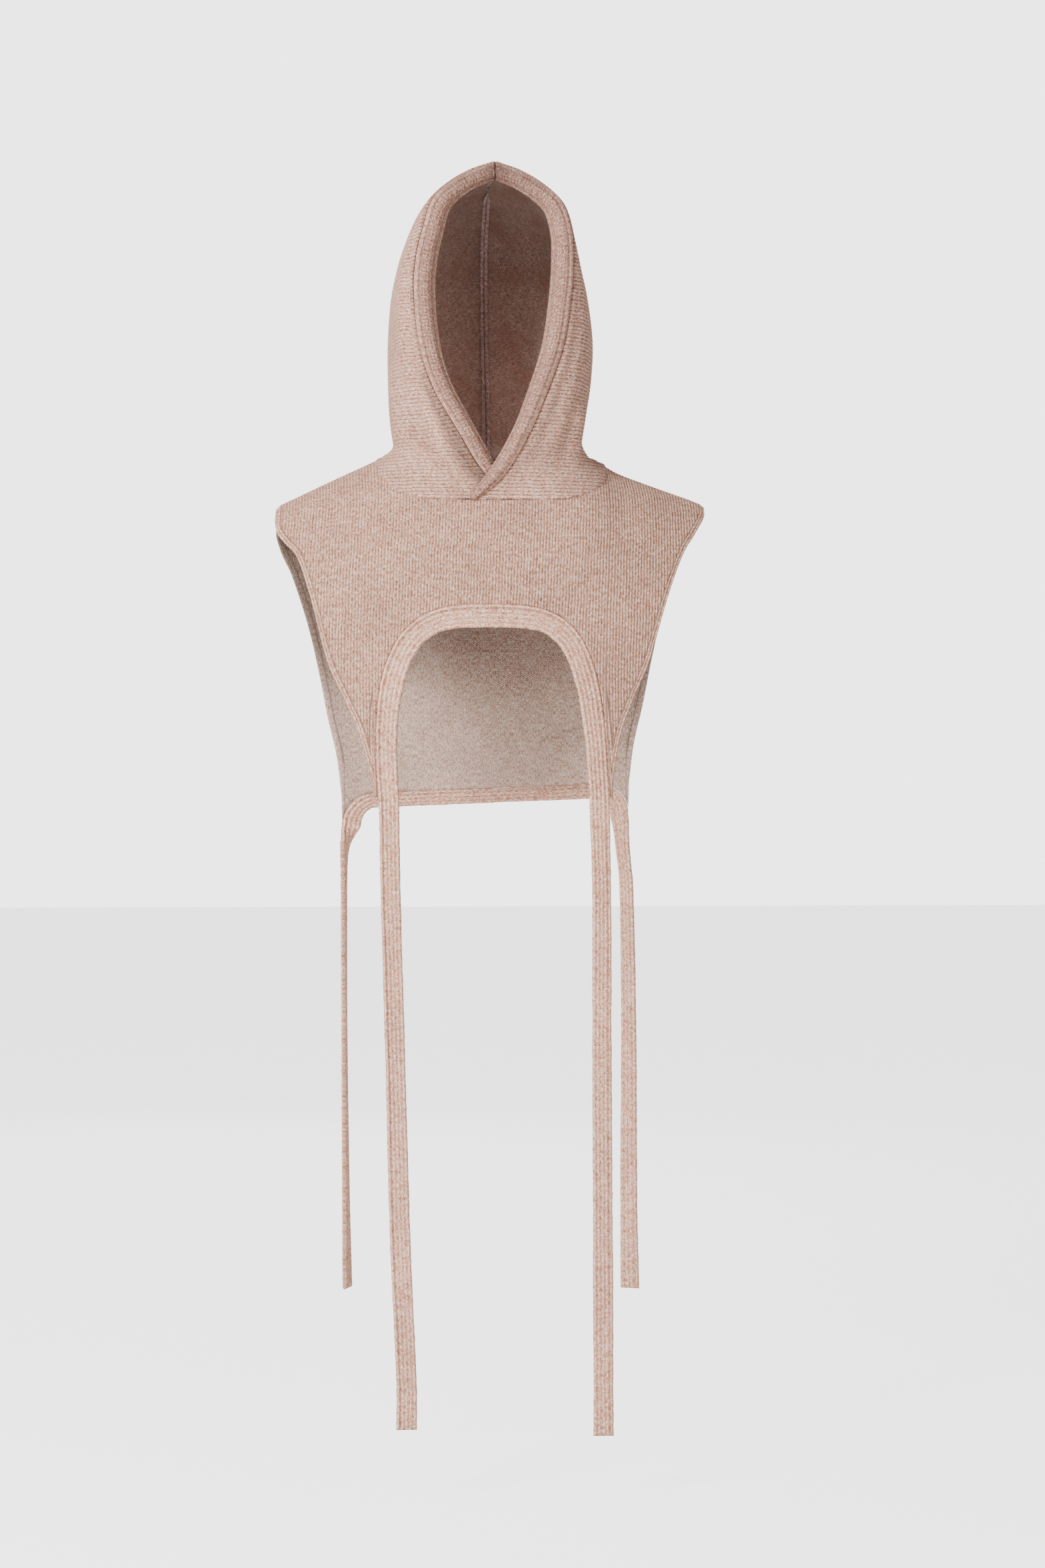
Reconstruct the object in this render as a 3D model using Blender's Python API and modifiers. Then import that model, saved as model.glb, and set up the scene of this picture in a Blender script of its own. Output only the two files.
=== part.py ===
"""Hooded neck warmer, knitted in marled lambswool.

Metres, +Z up. The face looks along -Y, and left and right are the viewer's, -X and +X.
The origin is the middle of the neck, level with the inner ends of the shoulder seams.
Every piece is a sheet of knit: a grid laid on a surface that is worked out from the sizes
and short tables below, given its wall by Solidify. Widths and heights are taken to the inner
face of the knit, and the wall stands outside it.
"""
import math
from collections import namedtuple

import bmesh
import bpy
from mathutils import Vector

# Knit and seams
KNIT_WALL = 0.0028
BAND_WALL = 0.0046
TIE_WALL = 0.0040
SEAM_GAP = 0.0003
RING_GAP = 0.0012
RING_FRONT_GAP = 0.0013
RING_FLANK_GAP = 0.0031
RING_FLANK_TUCK = 0.0033
BAND_END_GAP = 0.0006
SEAM_WALL = 0.0022
SEAM_WIDTH = 0.008
LAP_GAP = 0.0009

# Hood
HOOD_HEIGHT = 0.2700
HOOD_HALF_WIDTH = 0.0940
HOOD_FRONT = 0.0845
HOOD_BACK = 0.1160
FACE_HALF_WIDTH = 0.0725
FACE_BAND_WIDTH = 0.0185
THROAT_OVERLAP = 0.0200
THROAT_SET_BACK = 0.0078
TUCK_REACH = 0.0440
FLARE_SHARE = 0.12
FLARE_POWER = 2.2
LOW_SQUARENESS = 2.8
HIGH_SQUARENESS = 2.2
BACK_ROUNDNESS = 0.87
BAND_CURL = 0.12

# Neck ring, where the hood meets the bib
NECK_HALF_WIDTH = 0.0950
NECK_FRONT = 0.0860
NECK_BACK = 0.0740
NECK_DROP = 0.0465
NECK_RISE = 0.0080
NECK_SQUARENESS = 3.0

# Bib
SHOULDER_HALF_SPAN = 0.2010
SHOULDER_DROP = 0.0500
SHOULDER_SEAM_FORWARD = 0.0080
SHOULDER_TILT = 0.012
TORSO_HALF_WIDTH = 0.235
TORSO_SQUARENESS = 2.0
STEEPEST_START = 0.99

FRONT_LENGTH = 0.3180
FRONT_FOOT_HALF_WIDTH = 0.1085
BACK_LENGTH = 0.3105
BACK_FOOT_HALF_WIDTH = 0.1390
HEM_TILT = 0.040
FRONT_SWAY = -0.0060

# How a panel drapes: depth of the chest or back, how far behind the shoulder seam its arc
# starts, the drop over which it rounds to vertical, the depth and height of the middle of the
# neck ring, and how flat the crown of the arc stays between the two shoulders.
Drape = namedtuple("Drape", "sign depth roll drop neck_depth neck_height flatness")
FRONT_DRAPE = Drape(-1, 0.1100, 0.025, 0.130, NECK_FRONT, -NECK_DROP, 5.2)
BACK_DRAPE = Drape(1, 0.0960, 0.000, 0.050, NECK_BACK, NECK_RISE, 2.0)

# Arch in the front panel, measured to the outside of its edging
ARCH_HALF_WIDTH = 0.1055
ARCH_SHIFT = -0.0025
ARCH_SHIFT_FROM = 0.3
ARCH_RISE = 0.1755
ARCH_SQUARENESS = 3.3

# Ties and the edging that they continue
ARCH_BAND_WIDTH = 0.0210
FRONT_TIE_WIDTH = 0.0186
HEM_BAND_WIDTH = 0.0140
BACK_TIE_WIDTH = 0.0180
HEM_CORNER_RADIUS = 0.0300
FULL_WIDTH_FROM = 0.5

# Colours, linear
JERSEY = (0.60, 0.42, 0.35, 1.0)
RIB = (0.57, 0.40, 0.33, 1.0)
WOOL_ROUGHNESS = 0.95

# Rows of the hood from the neck ring up to the crest. Each row starts at the rim of the face
# opening, passes the widest place of the side (belly) and ends at the centre seam (back).
# cross is the share of the throat overlap, tuck how far the left half is set back to lie
# under the right one, and the other columns are shares of the hood's named sizes.
HoodRow = namedtuple(
    "HoodRow",
    "up cross tuck rim_left rim_right rim_y rim_z belly_left belly_right belly_y belly_z"
    " back_y back_z band")
HOOD_ROWS = [
    HoodRow(0.00, 1.00, 1.0, 0.000, 0.000, 0.970, 0.000, 0.900, 0.885, 0.00, 0.000, 0.590, 0.030, 0.25),
    HoodRow(0.10, 0.45, 1.0, 0.250, 0.230, 0.985, 0.000, 0.945, 0.880, 0.02, 0.050, 0.610, 0.080, 0.62),
    HoodRow(0.21, 0.05, 0.4, 0.460, 0.425, 1.000, 0.066, 0.985, 0.925, 0.05, 0.150, 0.690, 0.180, 0.72),
    HoodRow(0.33, 0.00, 0.0, 0.785, 0.660, 0.970, 0.212, 1.000, 0.985, 0.09, 0.281, 0.790, 0.305, 0.84),
    HoodRow(0.45, 0.00, 0.0, 0.965, 0.855, 0.930, 0.363, 1.000, 1.000, 0.12, 0.410, 0.890, 0.430, 0.95),
    HoodRow(0.59, 0.00, 0.0, 1.035, 0.965, 0.885, 0.549, 0.970, 0.940, 0.13, 0.556, 0.975, 0.570, 1.00),
    HoodRow(0.68, 0.00, 0.0, 1.000, 0.990, 0.870, 0.670, 0.915, 0.850, 0.12, 0.657, 1.000, 0.675, 1.00),
    HoodRow(0.74, 0.00, 0.0, 0.915, 0.965, 0.865, 0.762, 0.845, 0.770, 0.10, 0.736, 0.975, 0.758, 0.96),
    HoodRow(0.81, 0.00, 0.0, 0.800, 0.840, 0.870, 0.855, 0.725, 0.690, 0.06, 0.822, 0.880, 0.850, 0.90),
    HoodRow(0.87, 0.00, 0.0, 0.595, 0.605, 0.870, 0.914, 0.510, 0.510, 0.00, 0.900, 0.710, 0.920, 0.82),
    HoodRow(0.94, 0.00, 0.0, 0.305, 0.305, 0.870, 0.962, 0.260, 0.260, -0.08, 0.965, 0.480, 0.972, 0.76),
    HoodRow(1.00, 0.00, 0.0, 0.000, 0.000, 0.870, 0.992, 0.000, 0.000, -0.17, 1.000, 0.210, 0.992, 0.74),
]

# Soft folds of the hood: which half, the place of the fold's foot and head across (over) and
# up the half, its half width across, and its height, as a share of the fold depth.
FOLD_DEPTH = 0.0060
FOLD_RISE = 0.3
FOLD_FADE = 0.6
Fold = namedtuple("Fold", "half foot_over head_over foot_up head_up half_width height")
HOOD_FOLDS = [
    Fold("left", 0.36, 0.30, 0.02, 0.36, 0.060, 1.0),
    Fold("left", 0.22, 0.17, 0.04, 0.30, 0.050, -0.7),
    Fold("right", 0.40, 0.46, 0.00, 0.22, 0.045, -1.0),
    Fold("right", 0.29, 0.26, 0.02, 0.30, 0.060, 0.6),
]

# Shoulder seam from the neck ring to the tip: how far it has dropped at the left and right.
ShoulderRow = namedtuple("ShoulderRow", "out left right")
SHOULDER_ROWS = [
    ShoulderRow(0.000, 0.000, 0.000),
    ShoulderRow(0.080, 0.045, 0.110),
    ShoulderRow(0.200, 0.165, 0.270),
    ShoulderRow(0.510, 0.460, 0.540),
    ShoulderRow(0.810, 0.750, 0.790),
    ShoulderRow(0.955, 0.900, 0.920),
    ShoulderRow(1.000, 1.000, 1.000),
]

# Free side edges at the left and right, from the foot (out 0) to the shoulder tip (out 1):
# the share of the way down from the level of the tips to the foot.
EdgeRow = namedtuple("EdgeRow", "out left right")
FRONT_EDGE_ROWS = [
    EdgeRow(0.000, 1.000, 1.000),
    EdgeRow(0.011, 0.953, 0.953),
    EdgeRow(0.054, 0.877, 0.877),
    EdgeRow(0.129, 0.772, 0.772),
    EdgeRow(0.258, 0.664, 0.664),
    EdgeRow(0.409, 0.548, 0.548),
    EdgeRow(0.470, 0.478, 0.478),
    EdgeRow(0.608, 0.306, 0.306),
    EdgeRow(0.753, 0.173, 0.169),
    EdgeRow(0.882, 0.120, 0.096),
    EdgeRow(0.968, 0.080, 0.046),
    EdgeRow(1.000, 0.039, 0.021),
]
BACK_EDGE_ROWS = [
    EdgeRow(0.000, 1.000, 1.000),
    EdgeRow(0.072, 0.866, 0.859),
    EdgeRow(0.216, 0.716, 0.700),
    EdgeRow(0.344, 0.562, 0.536),
    EdgeRow(0.504, 0.398, 0.362),
    EdgeRow(0.760, 0.208, 0.158),
    EdgeRow(0.920, 0.127, 0.072),
    EdgeRow(1.000, 0.070, 0.010),
]

# The four hanging ties, from the bib down: sideways and forward drift as shares of the tie's
# width, the turn of its face in degrees, and its width as a share of the named one.
TieRow = namedtuple("TieRow", "down drift forward turn width")
Tie = namedtuple("Tie", "width length rows")
TIES = {
    "front_left": Tie(FRONT_TIE_WIDTH, 0.5760, [
        TieRow(0.00, 0.00, 0.00, 0, 1.00),
        TieRow(0.15, 0.08, 0.05, -4, 0.99),
        TieRow(0.40, 0.30, 0.12, 6, 0.97),
        TieRow(0.70, 0.55, 0.02, -6, 1.00),
        TieRow(0.93, 0.86, -0.10, 3, 1.02),
        TieRow(1.00, 0.86, -0.12, 2, 1.03),
    ]),
    "front_right": Tie(FRONT_TIE_WIDTH, 0.5840, [
        TieRow(0.00, 0.00, 0.00, 0, 1.00),
        TieRow(0.15, 0.12, 0.04, 8, 0.95),
        TieRow(0.40, 0.14, 0.10, -6, 0.94),
        TieRow(0.70, 0.18, 0.04, 5, 0.98),
        TieRow(0.93, 0.20, -0.08, -4, 0.98),
        TieRow(1.00, 0.20, -0.10, -2, 1.00),
    ]),
    "back_left": Tie(BACK_TIE_WIDTH, 0.4470, [
        TieRow(0.00, 0.00, 0.00, 0, 1.00),
        TieRow(0.025, -0.24, 0.04, 56, 1.00),
        TieRow(0.08, -0.38, 0.06, 78, 1.00),
        TieRow(0.20, -0.38, 0.08, 82, 1.00),
        TieRow(0.45, -0.36, 0.12, 83, 1.00),
        TieRow(0.80, -0.28, 0.06, 76, 1.00),
        TieRow(1.00, -0.20, 0.02, 68, 1.02),
    ]),
    "back_right": Tie(BACK_TIE_WIDTH, 0.4620, [
        TieRow(0.00, 0.00, 0.00, 0, 1.00),
        TieRow(0.025, 0.10, 0.02, -36, 1.00),
        TieRow(0.08, 0.22, 0.05, -50, 1.00),
        TieRow(0.15, 0.40, 0.08, -52, 1.00),
        TieRow(0.45, 0.54, 0.10, -45, 1.00),
        TieRow(0.80, 0.54, 0.04, -34, 1.00),
        TieRow(1.00, 0.60, 0.00, -22, 1.04),
    ]),
}

# Grid steps, and the small steps by which the run of an edge is felt for
HOOD_STEPS_OVER_FRONT = 6
HOOD_STEPS_OVER_BACK = 8
HOOD_STEPS_UP = 16
CREST_STEPS = 7
PANEL_STEPS_DOWN = 9
TIE_STEPS = 10
TIE_CROWDING = 1.6
PANEL_CROWDING = 1.35
HEM_CORNER_STEPS = 5
HEM_MIDDLE_STEPS = 8
STATION_GAP = 0.0005
PROBE = 0.02
ARCH_PROBE = 0.01
BELLY_OVER = HOOD_STEPS_OVER_FRONT / (HOOD_STEPS_OVER_FRONT + HOOD_STEPS_OVER_BACK)

# Corners of the arch: angles from its right foot, through its crown, to its left foot
ARCH_ANGLES = [math.radians(a) for a in (0, 8, 13, 19, 26, 34, 43, 53, 64, 77, 90)]
ARCH_ANGLES += [math.pi - a for a in reversed(ARCH_ANGLES[:-1])]

# Shares of the way over a half (from its rim to the centre seam) between which the hood's foot
# stands higher on the neck ring, and between which it tucks in at the flank
RING_RISE = (0.05, 0.25)
RING_SETTLE = (0.40, 0.60)
FLANK_START = (0.20, 0.35)
FLANK_END = (0.45, 0.60)

# Centre seam: how far it reaches over the crest, how far beside it the hood is felt for, from
# which height it turns over the crest, and the middle of the hollow that it faces
CREST_REACH = 0.86
BESIDE_OVER = 0.10
BESIDE_UP = 0.035
SEAM_TURN_FROM = 0.9
HOLLOW_BACK = 0.1
HOLLOW_TOP = 0.5


def along(rows, column, share):
    """Value of a table's column at a share of its first column, by smooth cubic steps."""
    knots = [row[0] for row in rows]
    values = [getattr(row, column) for row in rows]
    last = len(rows) - 1
    i = 0
    while i < last - 1 and share > knots[i + 1]:
        i += 1

    def slope(k):
        low, high = max(k - 1, 0), min(k + 1, last)
        return (values[high] - values[low]) / (knots[high] - knots[low])

    width = knots[i + 1] - knots[i]
    t = min(max((share - knots[i]) / width, 0.0), 1.0)
    start, end = values[i], values[i + 1]
    return ((2 * t ** 3 - 3 * t ** 2 + 1) * start + (t ** 3 - 2 * t ** 2 + t) * width * slope(i)
            + (3 * t ** 2 - 2 * t ** 3) * end + (t ** 3 - t ** 2) * width * slope(i + 1))


def smooth(low, high, value):
    """0 below low, 1 above high, and a soft step between them."""
    t = min(max((value - low) / (high - low), 0.0), 1.0)
    return t * t * (3 - 2 * t)


def round_depth(share, squareness):
    """Other coordinate of a unit superellipse at this share of its width."""
    return max(0.0, 1.0 - abs(share) ** squareness) ** (1.0 / squareness)


# Neck ring and bib surface

def drape_angle(x, y, drape):
    """Angle of a panel's arc at a place, from 0 at its crown to a quarter turn at the chest."""
    reach = drape.depth * round_depth(x / TORSO_HALF_WIDTH, TORSO_SQUARENESS) + drape.roll
    return math.asin(min((drape.sign * y + drape.roll) / reach, STEEPEST_START))


def drape_fall(x, y, drape):
    """How far a panel has fallen below its crown at a place."""
    return drape.drop * (1 - math.cos(drape_angle(x, y, drape)))


def drape_crown(x, drape):
    """Height of the arc's crown inside the neck ring, going on from the shoulders' slope."""
    middle = drape.neck_height + drape_fall(0.0, drape.sign * drape.neck_depth, drape)
    flank = drape_fall(NECK_HALF_WIDTH, 0.0, drape)
    return middle + (flank - middle) * (abs(x) / NECK_HALF_WIDTH) ** drape.flatness


def neck_ring(x, drape):
    """Point of the neck ring at x, on its front or back half."""
    share = min(abs(x) / NECK_HALF_WIDTH, 1.0)
    y = drape.sign * drape.neck_depth * round_depth(share, NECK_SQUARENESS)
    return Vector((x, y, drape_crown(x, drape) - drape_fall(x, y, drape)))


def top_line(x, drape):
    """Upper edge of a panel: the neck ring, and outside it the shoulder seam."""
    if abs(x) <= NECK_HALF_WIDTH:
        return neck_ring(x, drape)
    out = (abs(x) - NECK_HALF_WIDTH) / (SHOULDER_HALF_SPAN - NECK_HALF_WIDTH)
    drop = SHOULDER_DROP * along(SHOULDER_ROWS, "left" if x < 0 else "right", out)
    return Vector((x, -SHOULDER_SEAM_FORWARD * out, -drop))


def panel_arc(x, drape):
    """The crown height of the arc that a panel follows at x, and the angle of its upper edge."""
    top = top_line(x, drape)
    return top.z + drape_fall(x, top.y, drape), drape_angle(x, top.y, drape)


def arc_y(x, angle, drape):
    """Depth of a panel where its arc has this angle."""
    reach = drape.depth * round_depth(x / TORSO_HALF_WIDTH, TORSO_SQUARENESS) + drape.roll
    return drape.sign * (reach * math.sin(angle) - drape.roll)


def panel_y(x, z, drape):
    """Depth of the panel's inner face at x and z."""
    crown, start = panel_arc(x, drape)
    fall = min(max((crown - z) / drape.drop, 0.0), 1.0)
    return arc_y(x, max(math.acos(1 - fall), start), drape)


def panel_point(x, down, bottom, drape):
    """Point of the panel at x, a share down from its upper edge to its lower edge."""
    crown, start = panel_arc(x, drape)
    fall = (crown - bottom) / drape.drop
    end = math.acos(1 - fall) if fall < 1 else math.pi / 2
    rolled = (end - start) * drape.drop
    straight = max(fall - 1, 0.0) * drape.drop
    run = down * (rolled + straight)
    if run <= rolled:
        angle = start + run / drape.drop
        return Vector((x, arc_y(x, angle, drape), crown - drape.drop * (1 - math.cos(angle))))
    return Vector((x, arc_y(x, math.pi / 2, drape), crown - drape.drop - (run - rolled)))


def edge_z(x, rows, foot_half_width, foot_z):
    """z of a panel's free side edge at x, between the shoulder tip and the foot."""
    out = (abs(x) - foot_half_width) / (SHOULDER_HALF_SPAN - foot_half_width)
    share = along(rows, "left" if x < 0 else "right", out)
    return -SHOULDER_DROP + (foot_z + SHOULDER_DROP) * share


def arch_edge(angle):
    """x and z of the front panel's arch, from its right foot (0) to its left (pi)."""
    power = 2.0 / ARCH_SQUARENESS
    c, s = math.cos(angle), math.sin(angle)
    x = ARCH_HALF_WIDTH * math.copysign(abs(c) ** power, c)
    return x, -FRONT_LENGTH + ARCH_RISE * max(s, 0.0) ** power


def front_bottom(x):
    """Lower edge of the front panel: the arch, the foot of a leg, then the side edge."""
    if abs(x) < ARCH_HALF_WIDTH:
        return -FRONT_LENGTH + ARCH_RISE * round_depth(x / ARCH_HALF_WIDTH, ARCH_SQUARENESS)
    if abs(x) <= FRONT_FOOT_HALF_WIDTH:
        return -FRONT_LENGTH
    return edge_z(x, FRONT_EDGE_ROWS, FRONT_FOOT_HALF_WIDTH, -FRONT_LENGTH)


def hem_z(x):
    """Lower edge of the back panel, which hangs a little lower at the left."""
    return -BACK_LENGTH + HEM_TILT * x


def back_bottom(x):
    """Lower edge of the back panel: the hem with its round corners, then the side edge."""
    if abs(x) <= BACK_FOOT_HALF_WIDTH:
        past = max(abs(x) - (BACK_FOOT_HALF_WIDTH - HEM_CORNER_RADIUS), 0.0)
        corner = HEM_CORNER_RADIUS - math.sqrt(max(HEM_CORNER_RADIUS ** 2 - past ** 2, 0.0))
        return hem_z(x) - corner
    foot_z = hem_z(math.copysign(BACK_FOOT_HALF_WIDTH, x))
    return edge_z(x, BACK_EDGE_ROWS, BACK_FOOT_HALF_WIDTH, foot_z)


def askew(point, drape):
    """The bib hangs with its left shoulder a little lower and its front a little to the left."""
    weight = smooth(NECK_HALF_WIDTH, SHOULDER_HALF_SPAN, abs(point.x))
    sway = 0.0
    if drape == FRONT_DRAPE:
        down = min(max(-(point.z + NECK_DROP) / (FRONT_LENGTH - NECK_DROP), 0.0), 1.0)
        sway = FRONT_SWAY * math.sin(math.pi * down) + ARCH_SHIFT * smooth(ARCH_SHIFT_FROM, 1.0, down)
    return Vector((point.x + sway, point.y, point.z + SHOULDER_TILT * point.x * weight))


# Hood surface

def hood_row(up, left):
    """The rim, belly and back points of one row of a half, as if it were the right one."""
    def value(column):
        return along(HOOD_ROWS, column, up)

    side = "left" if left else "right"
    cross = value("cross")
    set_back = THROAT_SET_BACK * value("tuck") if left else 0.0
    rim = Vector((FACE_HALF_WIDTH * value("rim_" + side) - THROAT_OVERLAP * cross,
                  -HOOD_FRONT * value("rim_y") + set_back,
                  HOOD_HEIGHT * value("rim_z") - NECK_DROP * cross))
    belly = Vector((HOOD_HALF_WIDTH * value("belly_" + side), HOOD_BACK * value("belly_y"),
                    HOOD_HEIGHT * value("belly_z")))
    back = Vector((0.0, HOOD_BACK * value("back_y"), HOOD_HEIGHT * value("back_z")))
    return rim, belly, back


def hood_body(over, up, left):
    """Inner face of the hood above its flared foot."""
    rim, belly, back = hood_row(up, left)
    if over < BELLY_OVER:
        squareness = LOW_SQUARENESS + (HIGH_SQUARENESS - LOW_SQUARENESS) * smooth(0.1, 0.4, up)
        turn = math.sin(math.pi / 2 * over / BELLY_OVER)
        depth = round_depth(turn, squareness)
        return Vector((rim.x + (belly.x - rim.x) * turn,
                       belly.y + (rim.y - belly.y) * depth,
                       rim.z + (belly.z - rim.z) * turn))
    angle = math.pi / 2 * (over - BELLY_OVER) / (1 - BELLY_OVER)
    side, turn = math.cos(angle) ** BACK_ROUNDNESS, math.sin(angle) ** BACK_ROUNDNESS
    return Vector((belly.x * side, belly.y + (back.y - belly.y) * turn,
                   back.z + (belly.z - back.z) * side))


def hood_foot(over, left):
    """The hood's lowest row, on the neck ring, as if it were the right half."""
    if over < BELLY_OVER:
        turn = math.sin(math.pi / 2 * over / BELLY_OVER)
        x = -THROAT_OVERLAP + (NECK_HALF_WIDTH + THROAT_OVERLAP) * turn
        foot = neck_ring(x, FRONT_DRAPE)
        if left:
            reach = 1 - smooth(THROAT_OVERLAP, TUCK_REACH, x)
            foot.y += THROAT_SET_BACK * reach
        return foot
    angle = math.pi / 2 * (over - BELLY_OVER) / (1 - BELLY_OVER)
    return neck_ring(NECK_HALF_WIDTH * math.cos(angle), BACK_DRAPE)


def fold_height(over, up, left):
    """How far the folds lift the hood at a place."""
    height = 0.0
    for fold in HOOD_FOLDS:
        if (fold.half == "left") != left:
            continue
        share = (up - fold.foot_up) / (fold.head_up - fold.foot_up)
        centre = fold.foot_over + (fold.head_over - fold.foot_over) * share
        near = max(0.0, 1 - ((over - centre) / fold.half_width) ** 2)
        ends = smooth(0.0, FOLD_RISE, share) * (1 - smooth(FOLD_FADE, 1.0, share))
        height += FOLD_DEPTH * fold.height * near ** 2 * ends
    return height


def ring_gap(over):
    """How far the hood's foot stands above the neck ring, so that the two walls only meet."""
    front = RING_FRONT_GAP + (RING_FLANK_GAP - RING_FRONT_GAP) * smooth(*RING_RISE, over)
    return front + (RING_GAP - front) * smooth(*RING_SETTLE, over)


def hood_point(over, up, left):
    """Inner face of the hood, from the rim (over 0) to the centre seam (over 1)."""
    point = hood_body(over, up, left)
    if up < FLARE_SHARE:
        flare = (1 - up / FLARE_SHARE) ** FLARE_POWER
        point += (hood_foot(over, left) - hood_body(over, 0.0, left)) * flare
    outward = Vector((point.x, point.y, 0.0))
    if outward.length > 0:
        point += outward.normalized() * fold_height(over, up, left)
    foot = 1 - min(up / FLARE_SHARE, 1.0)
    flank = smooth(*FLANK_START, over) * (1 - smooth(*FLANK_END, over))
    point.x += SEAM_GAP / 2 - RING_FLANK_TUCK * flank * foot
    point.z += ring_gap(over) * foot
    if left:
        point.x = -point.x
    return point


# Building

def fresh_collection(name):
    """Empties the file and returns a new collection for the object."""
    for thing in list(bpy.data.objects):
        bpy.data.objects.remove(thing, do_unlink=True)
    collection = bpy.data.collections.new(name)
    bpy.context.scene.collection.children.link(collection)
    return collection


def wool(name, colour):
    """A dull knitted wool."""
    material = bpy.data.materials.new(name)
    material.use_nodes = True
    shader = material.node_tree.nodes["Principled BSDF"]
    shader.inputs["Base Color"].default_value = colour
    shader.inputs["Roughness"].default_value = WOOL_ROUGHNESS
    shader.inputs["Metallic"].default_value = 0.0
    return material


def knit_sheet(name, columns, rows, place, wall, side, material, collection):
    """A grid of columns by rows, each corner set by place(column, row), with its wall.

    side is 1 for a wall on the grid's own front, -1 for its back and 0 for both.
    """
    mesh = bpy.data.meshes.new(name)
    sheet = bpy.data.objects.new(name, mesh)
    collection.objects.link(sheet)
    grid = bmesh.new()
    bmesh.ops.create_grid(grid, x_segments=columns, y_segments=rows, size=0.5)
    for corner in grid.verts:
        column = round((corner.co.x + 0.5) * columns)
        row = round((corner.co.y + 0.5) * rows)
        corner.co = place(column, row)
    grid.to_mesh(mesh)
    grid.free()
    mesh.materials.append(material)
    mesh.shade_smooth()
    solid = sheet.modifiers.new("wall", "SOLIDIFY")
    solid.thickness = wall
    solid.offset = side
    solid.use_even_offset = True
    solid.use_quality_normals = True
    return sheet


def hood_half(name, left, material, collection):
    """One half of the hood."""
    columns = HOOD_STEPS_OVER_FRONT + HOOD_STEPS_OVER_BACK

    def place(column, row):
        return hood_point(column / columns, row / HOOD_STEPS_UP, left)

    knit_sheet(name, columns, HOOD_STEPS_UP, place, KNIT_WALL, -1 if left else 1,
               material, collection)


def face_band(name, left, material, collection):
    """The rolled edging on the rim of one half, with its inner edge turned to the face."""
    sign = -1 if left else 1

    def place(column, row):
        up = row / HOOD_STEPS_UP
        rim = hood_point(0.0, up, left)
        ahead = hood_point(0.0, min(up + PROBE, 1.0), left)
        behind = hood_point(0.0, max(up - PROBE, 0.0), left)
        tangent = (ahead - behind).normalized()
        inward = Vector((-sign * tangent.z, 0.0, sign * tangent.x))
        centred = smooth(CREST_REACH, 1.0, up)
        inward = (inward * (1 - centred) + Vector((0.0, 0.0, -1.0)) * centred).normalized()
        width = FACE_BAND_WIDTH * along(HOOD_ROWS, "band", up)
        reach = LAP_GAP + width * column / 2
        curl = BAND_CURL * width * (column / 2) ** 2
        apart = sign * BAND_END_GAP * centred
        return rim + inward * reach + Vector((apart, curl - KNIT_WALL / 2, 0.0))

    knit_sheet(name, 2, HOOD_STEPS_UP, place, BAND_WALL, 0, material, collection)


def hood_seam(name, material, collection):
    """The linking seam inside the hood, from the nape over the crown to the peak."""
    back_steps = HOOD_STEPS_UP

    def place(column, row):
        if row <= back_steps:
            over, up = 1.0, row / back_steps
        else:
            over, up = 1.0 - (row - back_steps) / CREST_STEPS * CREST_REACH, 1.0
        centre = hood_point(over, up, False)
        centre.x = 0.0
        if column == 1:
            point = centre
        else:
            left = column == 0
            turned = smooth(SEAM_TURN_FROM, 1.0, up)
            near_over = over - BESIDE_OVER * (1 - turned)
            near_up = up - BESIDE_UP * turned
            beside = hood_point(near_over, near_up, left)
            point = centre + (beside - centre).normalized() * SEAM_WIDTH / 2
        middle = Vector((0.0, HOOD_BACK * HOLLOW_BACK, min(centre.z, HOOD_HEIGHT * HOLLOW_TOP)))
        return point + (middle - centre).normalized() * LAP_GAP

    knit_sheet(name, 2, back_steps + CREST_STEPS, place, SEAM_WALL, 1, material, collection)


def station_list(groups):
    """Sorted x stations of a panel's columns, without near doubles."""
    stations = sorted(x for group in groups for x in group)
    kept = [stations[0]]
    for x in stations[1:]:
        if x - kept[-1] > STATION_GAP:
            kept.append(x)
    return kept


def both_sides(values):
    """Each value and its mirror image."""
    return [sign * value for value in values for sign in (-1, 1)]


def neck_stations():
    """x of the hood's lowest corners on the neck ring."""
    stations = []
    columns = HOOD_STEPS_OVER_FRONT + HOOD_STEPS_OVER_BACK
    for step in range(columns + 1):
        stations.append(hood_foot(step / columns, False).x)
    return [x for x in stations if abs(x) > STATION_GAP]


def edge_stations(rows, foot_half_width):
    """x of the corners of a free side edge."""
    span = SHOULDER_HALF_SPAN - foot_half_width
    return [foot_half_width + span * row.out for row in rows]


def panel(name, drape, stations, bottom, material, collection):
    """One panel of the bib, hung from its upper edge along each station."""
    def place(column, row):
        x = stations[column]
        down = (row / PANEL_STEPS_DOWN) ** PANEL_CROWDING
        point = panel_point(x, down, bottom(x), drape)
        edge = top_line(x, drape)
        away = (panel_point(x, PROBE, bottom(x), drape) - edge).normalized()
        return askew(point + away * SEAM_GAP * (1 - down), drape)

    knit_sheet(name, len(stations) - 1, PANEL_STEPS_DOWN, place, KNIT_WALL, drape.sign,
               material, collection)


def hang(tie, start, step, across, sign):
    """Point of a hanging tie, at a step down and a share across from its outer edge."""
    down = (step / TIE_STEPS) ** TIE_CROWDING
    turn = math.radians(along(tie.rows, "turn", down))
    breadth = tie.width * along(tie.rows, "width", down)
    middle = start + Vector((tie.width * along(tie.rows, "drift", down),
                             tie.width * along(tie.rows, "forward", down), -tie.length * down))
    side = Vector((math.cos(turn), math.sin(turn), 0.0))
    return middle + side * sign * breadth * (0.5 - across)


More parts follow.
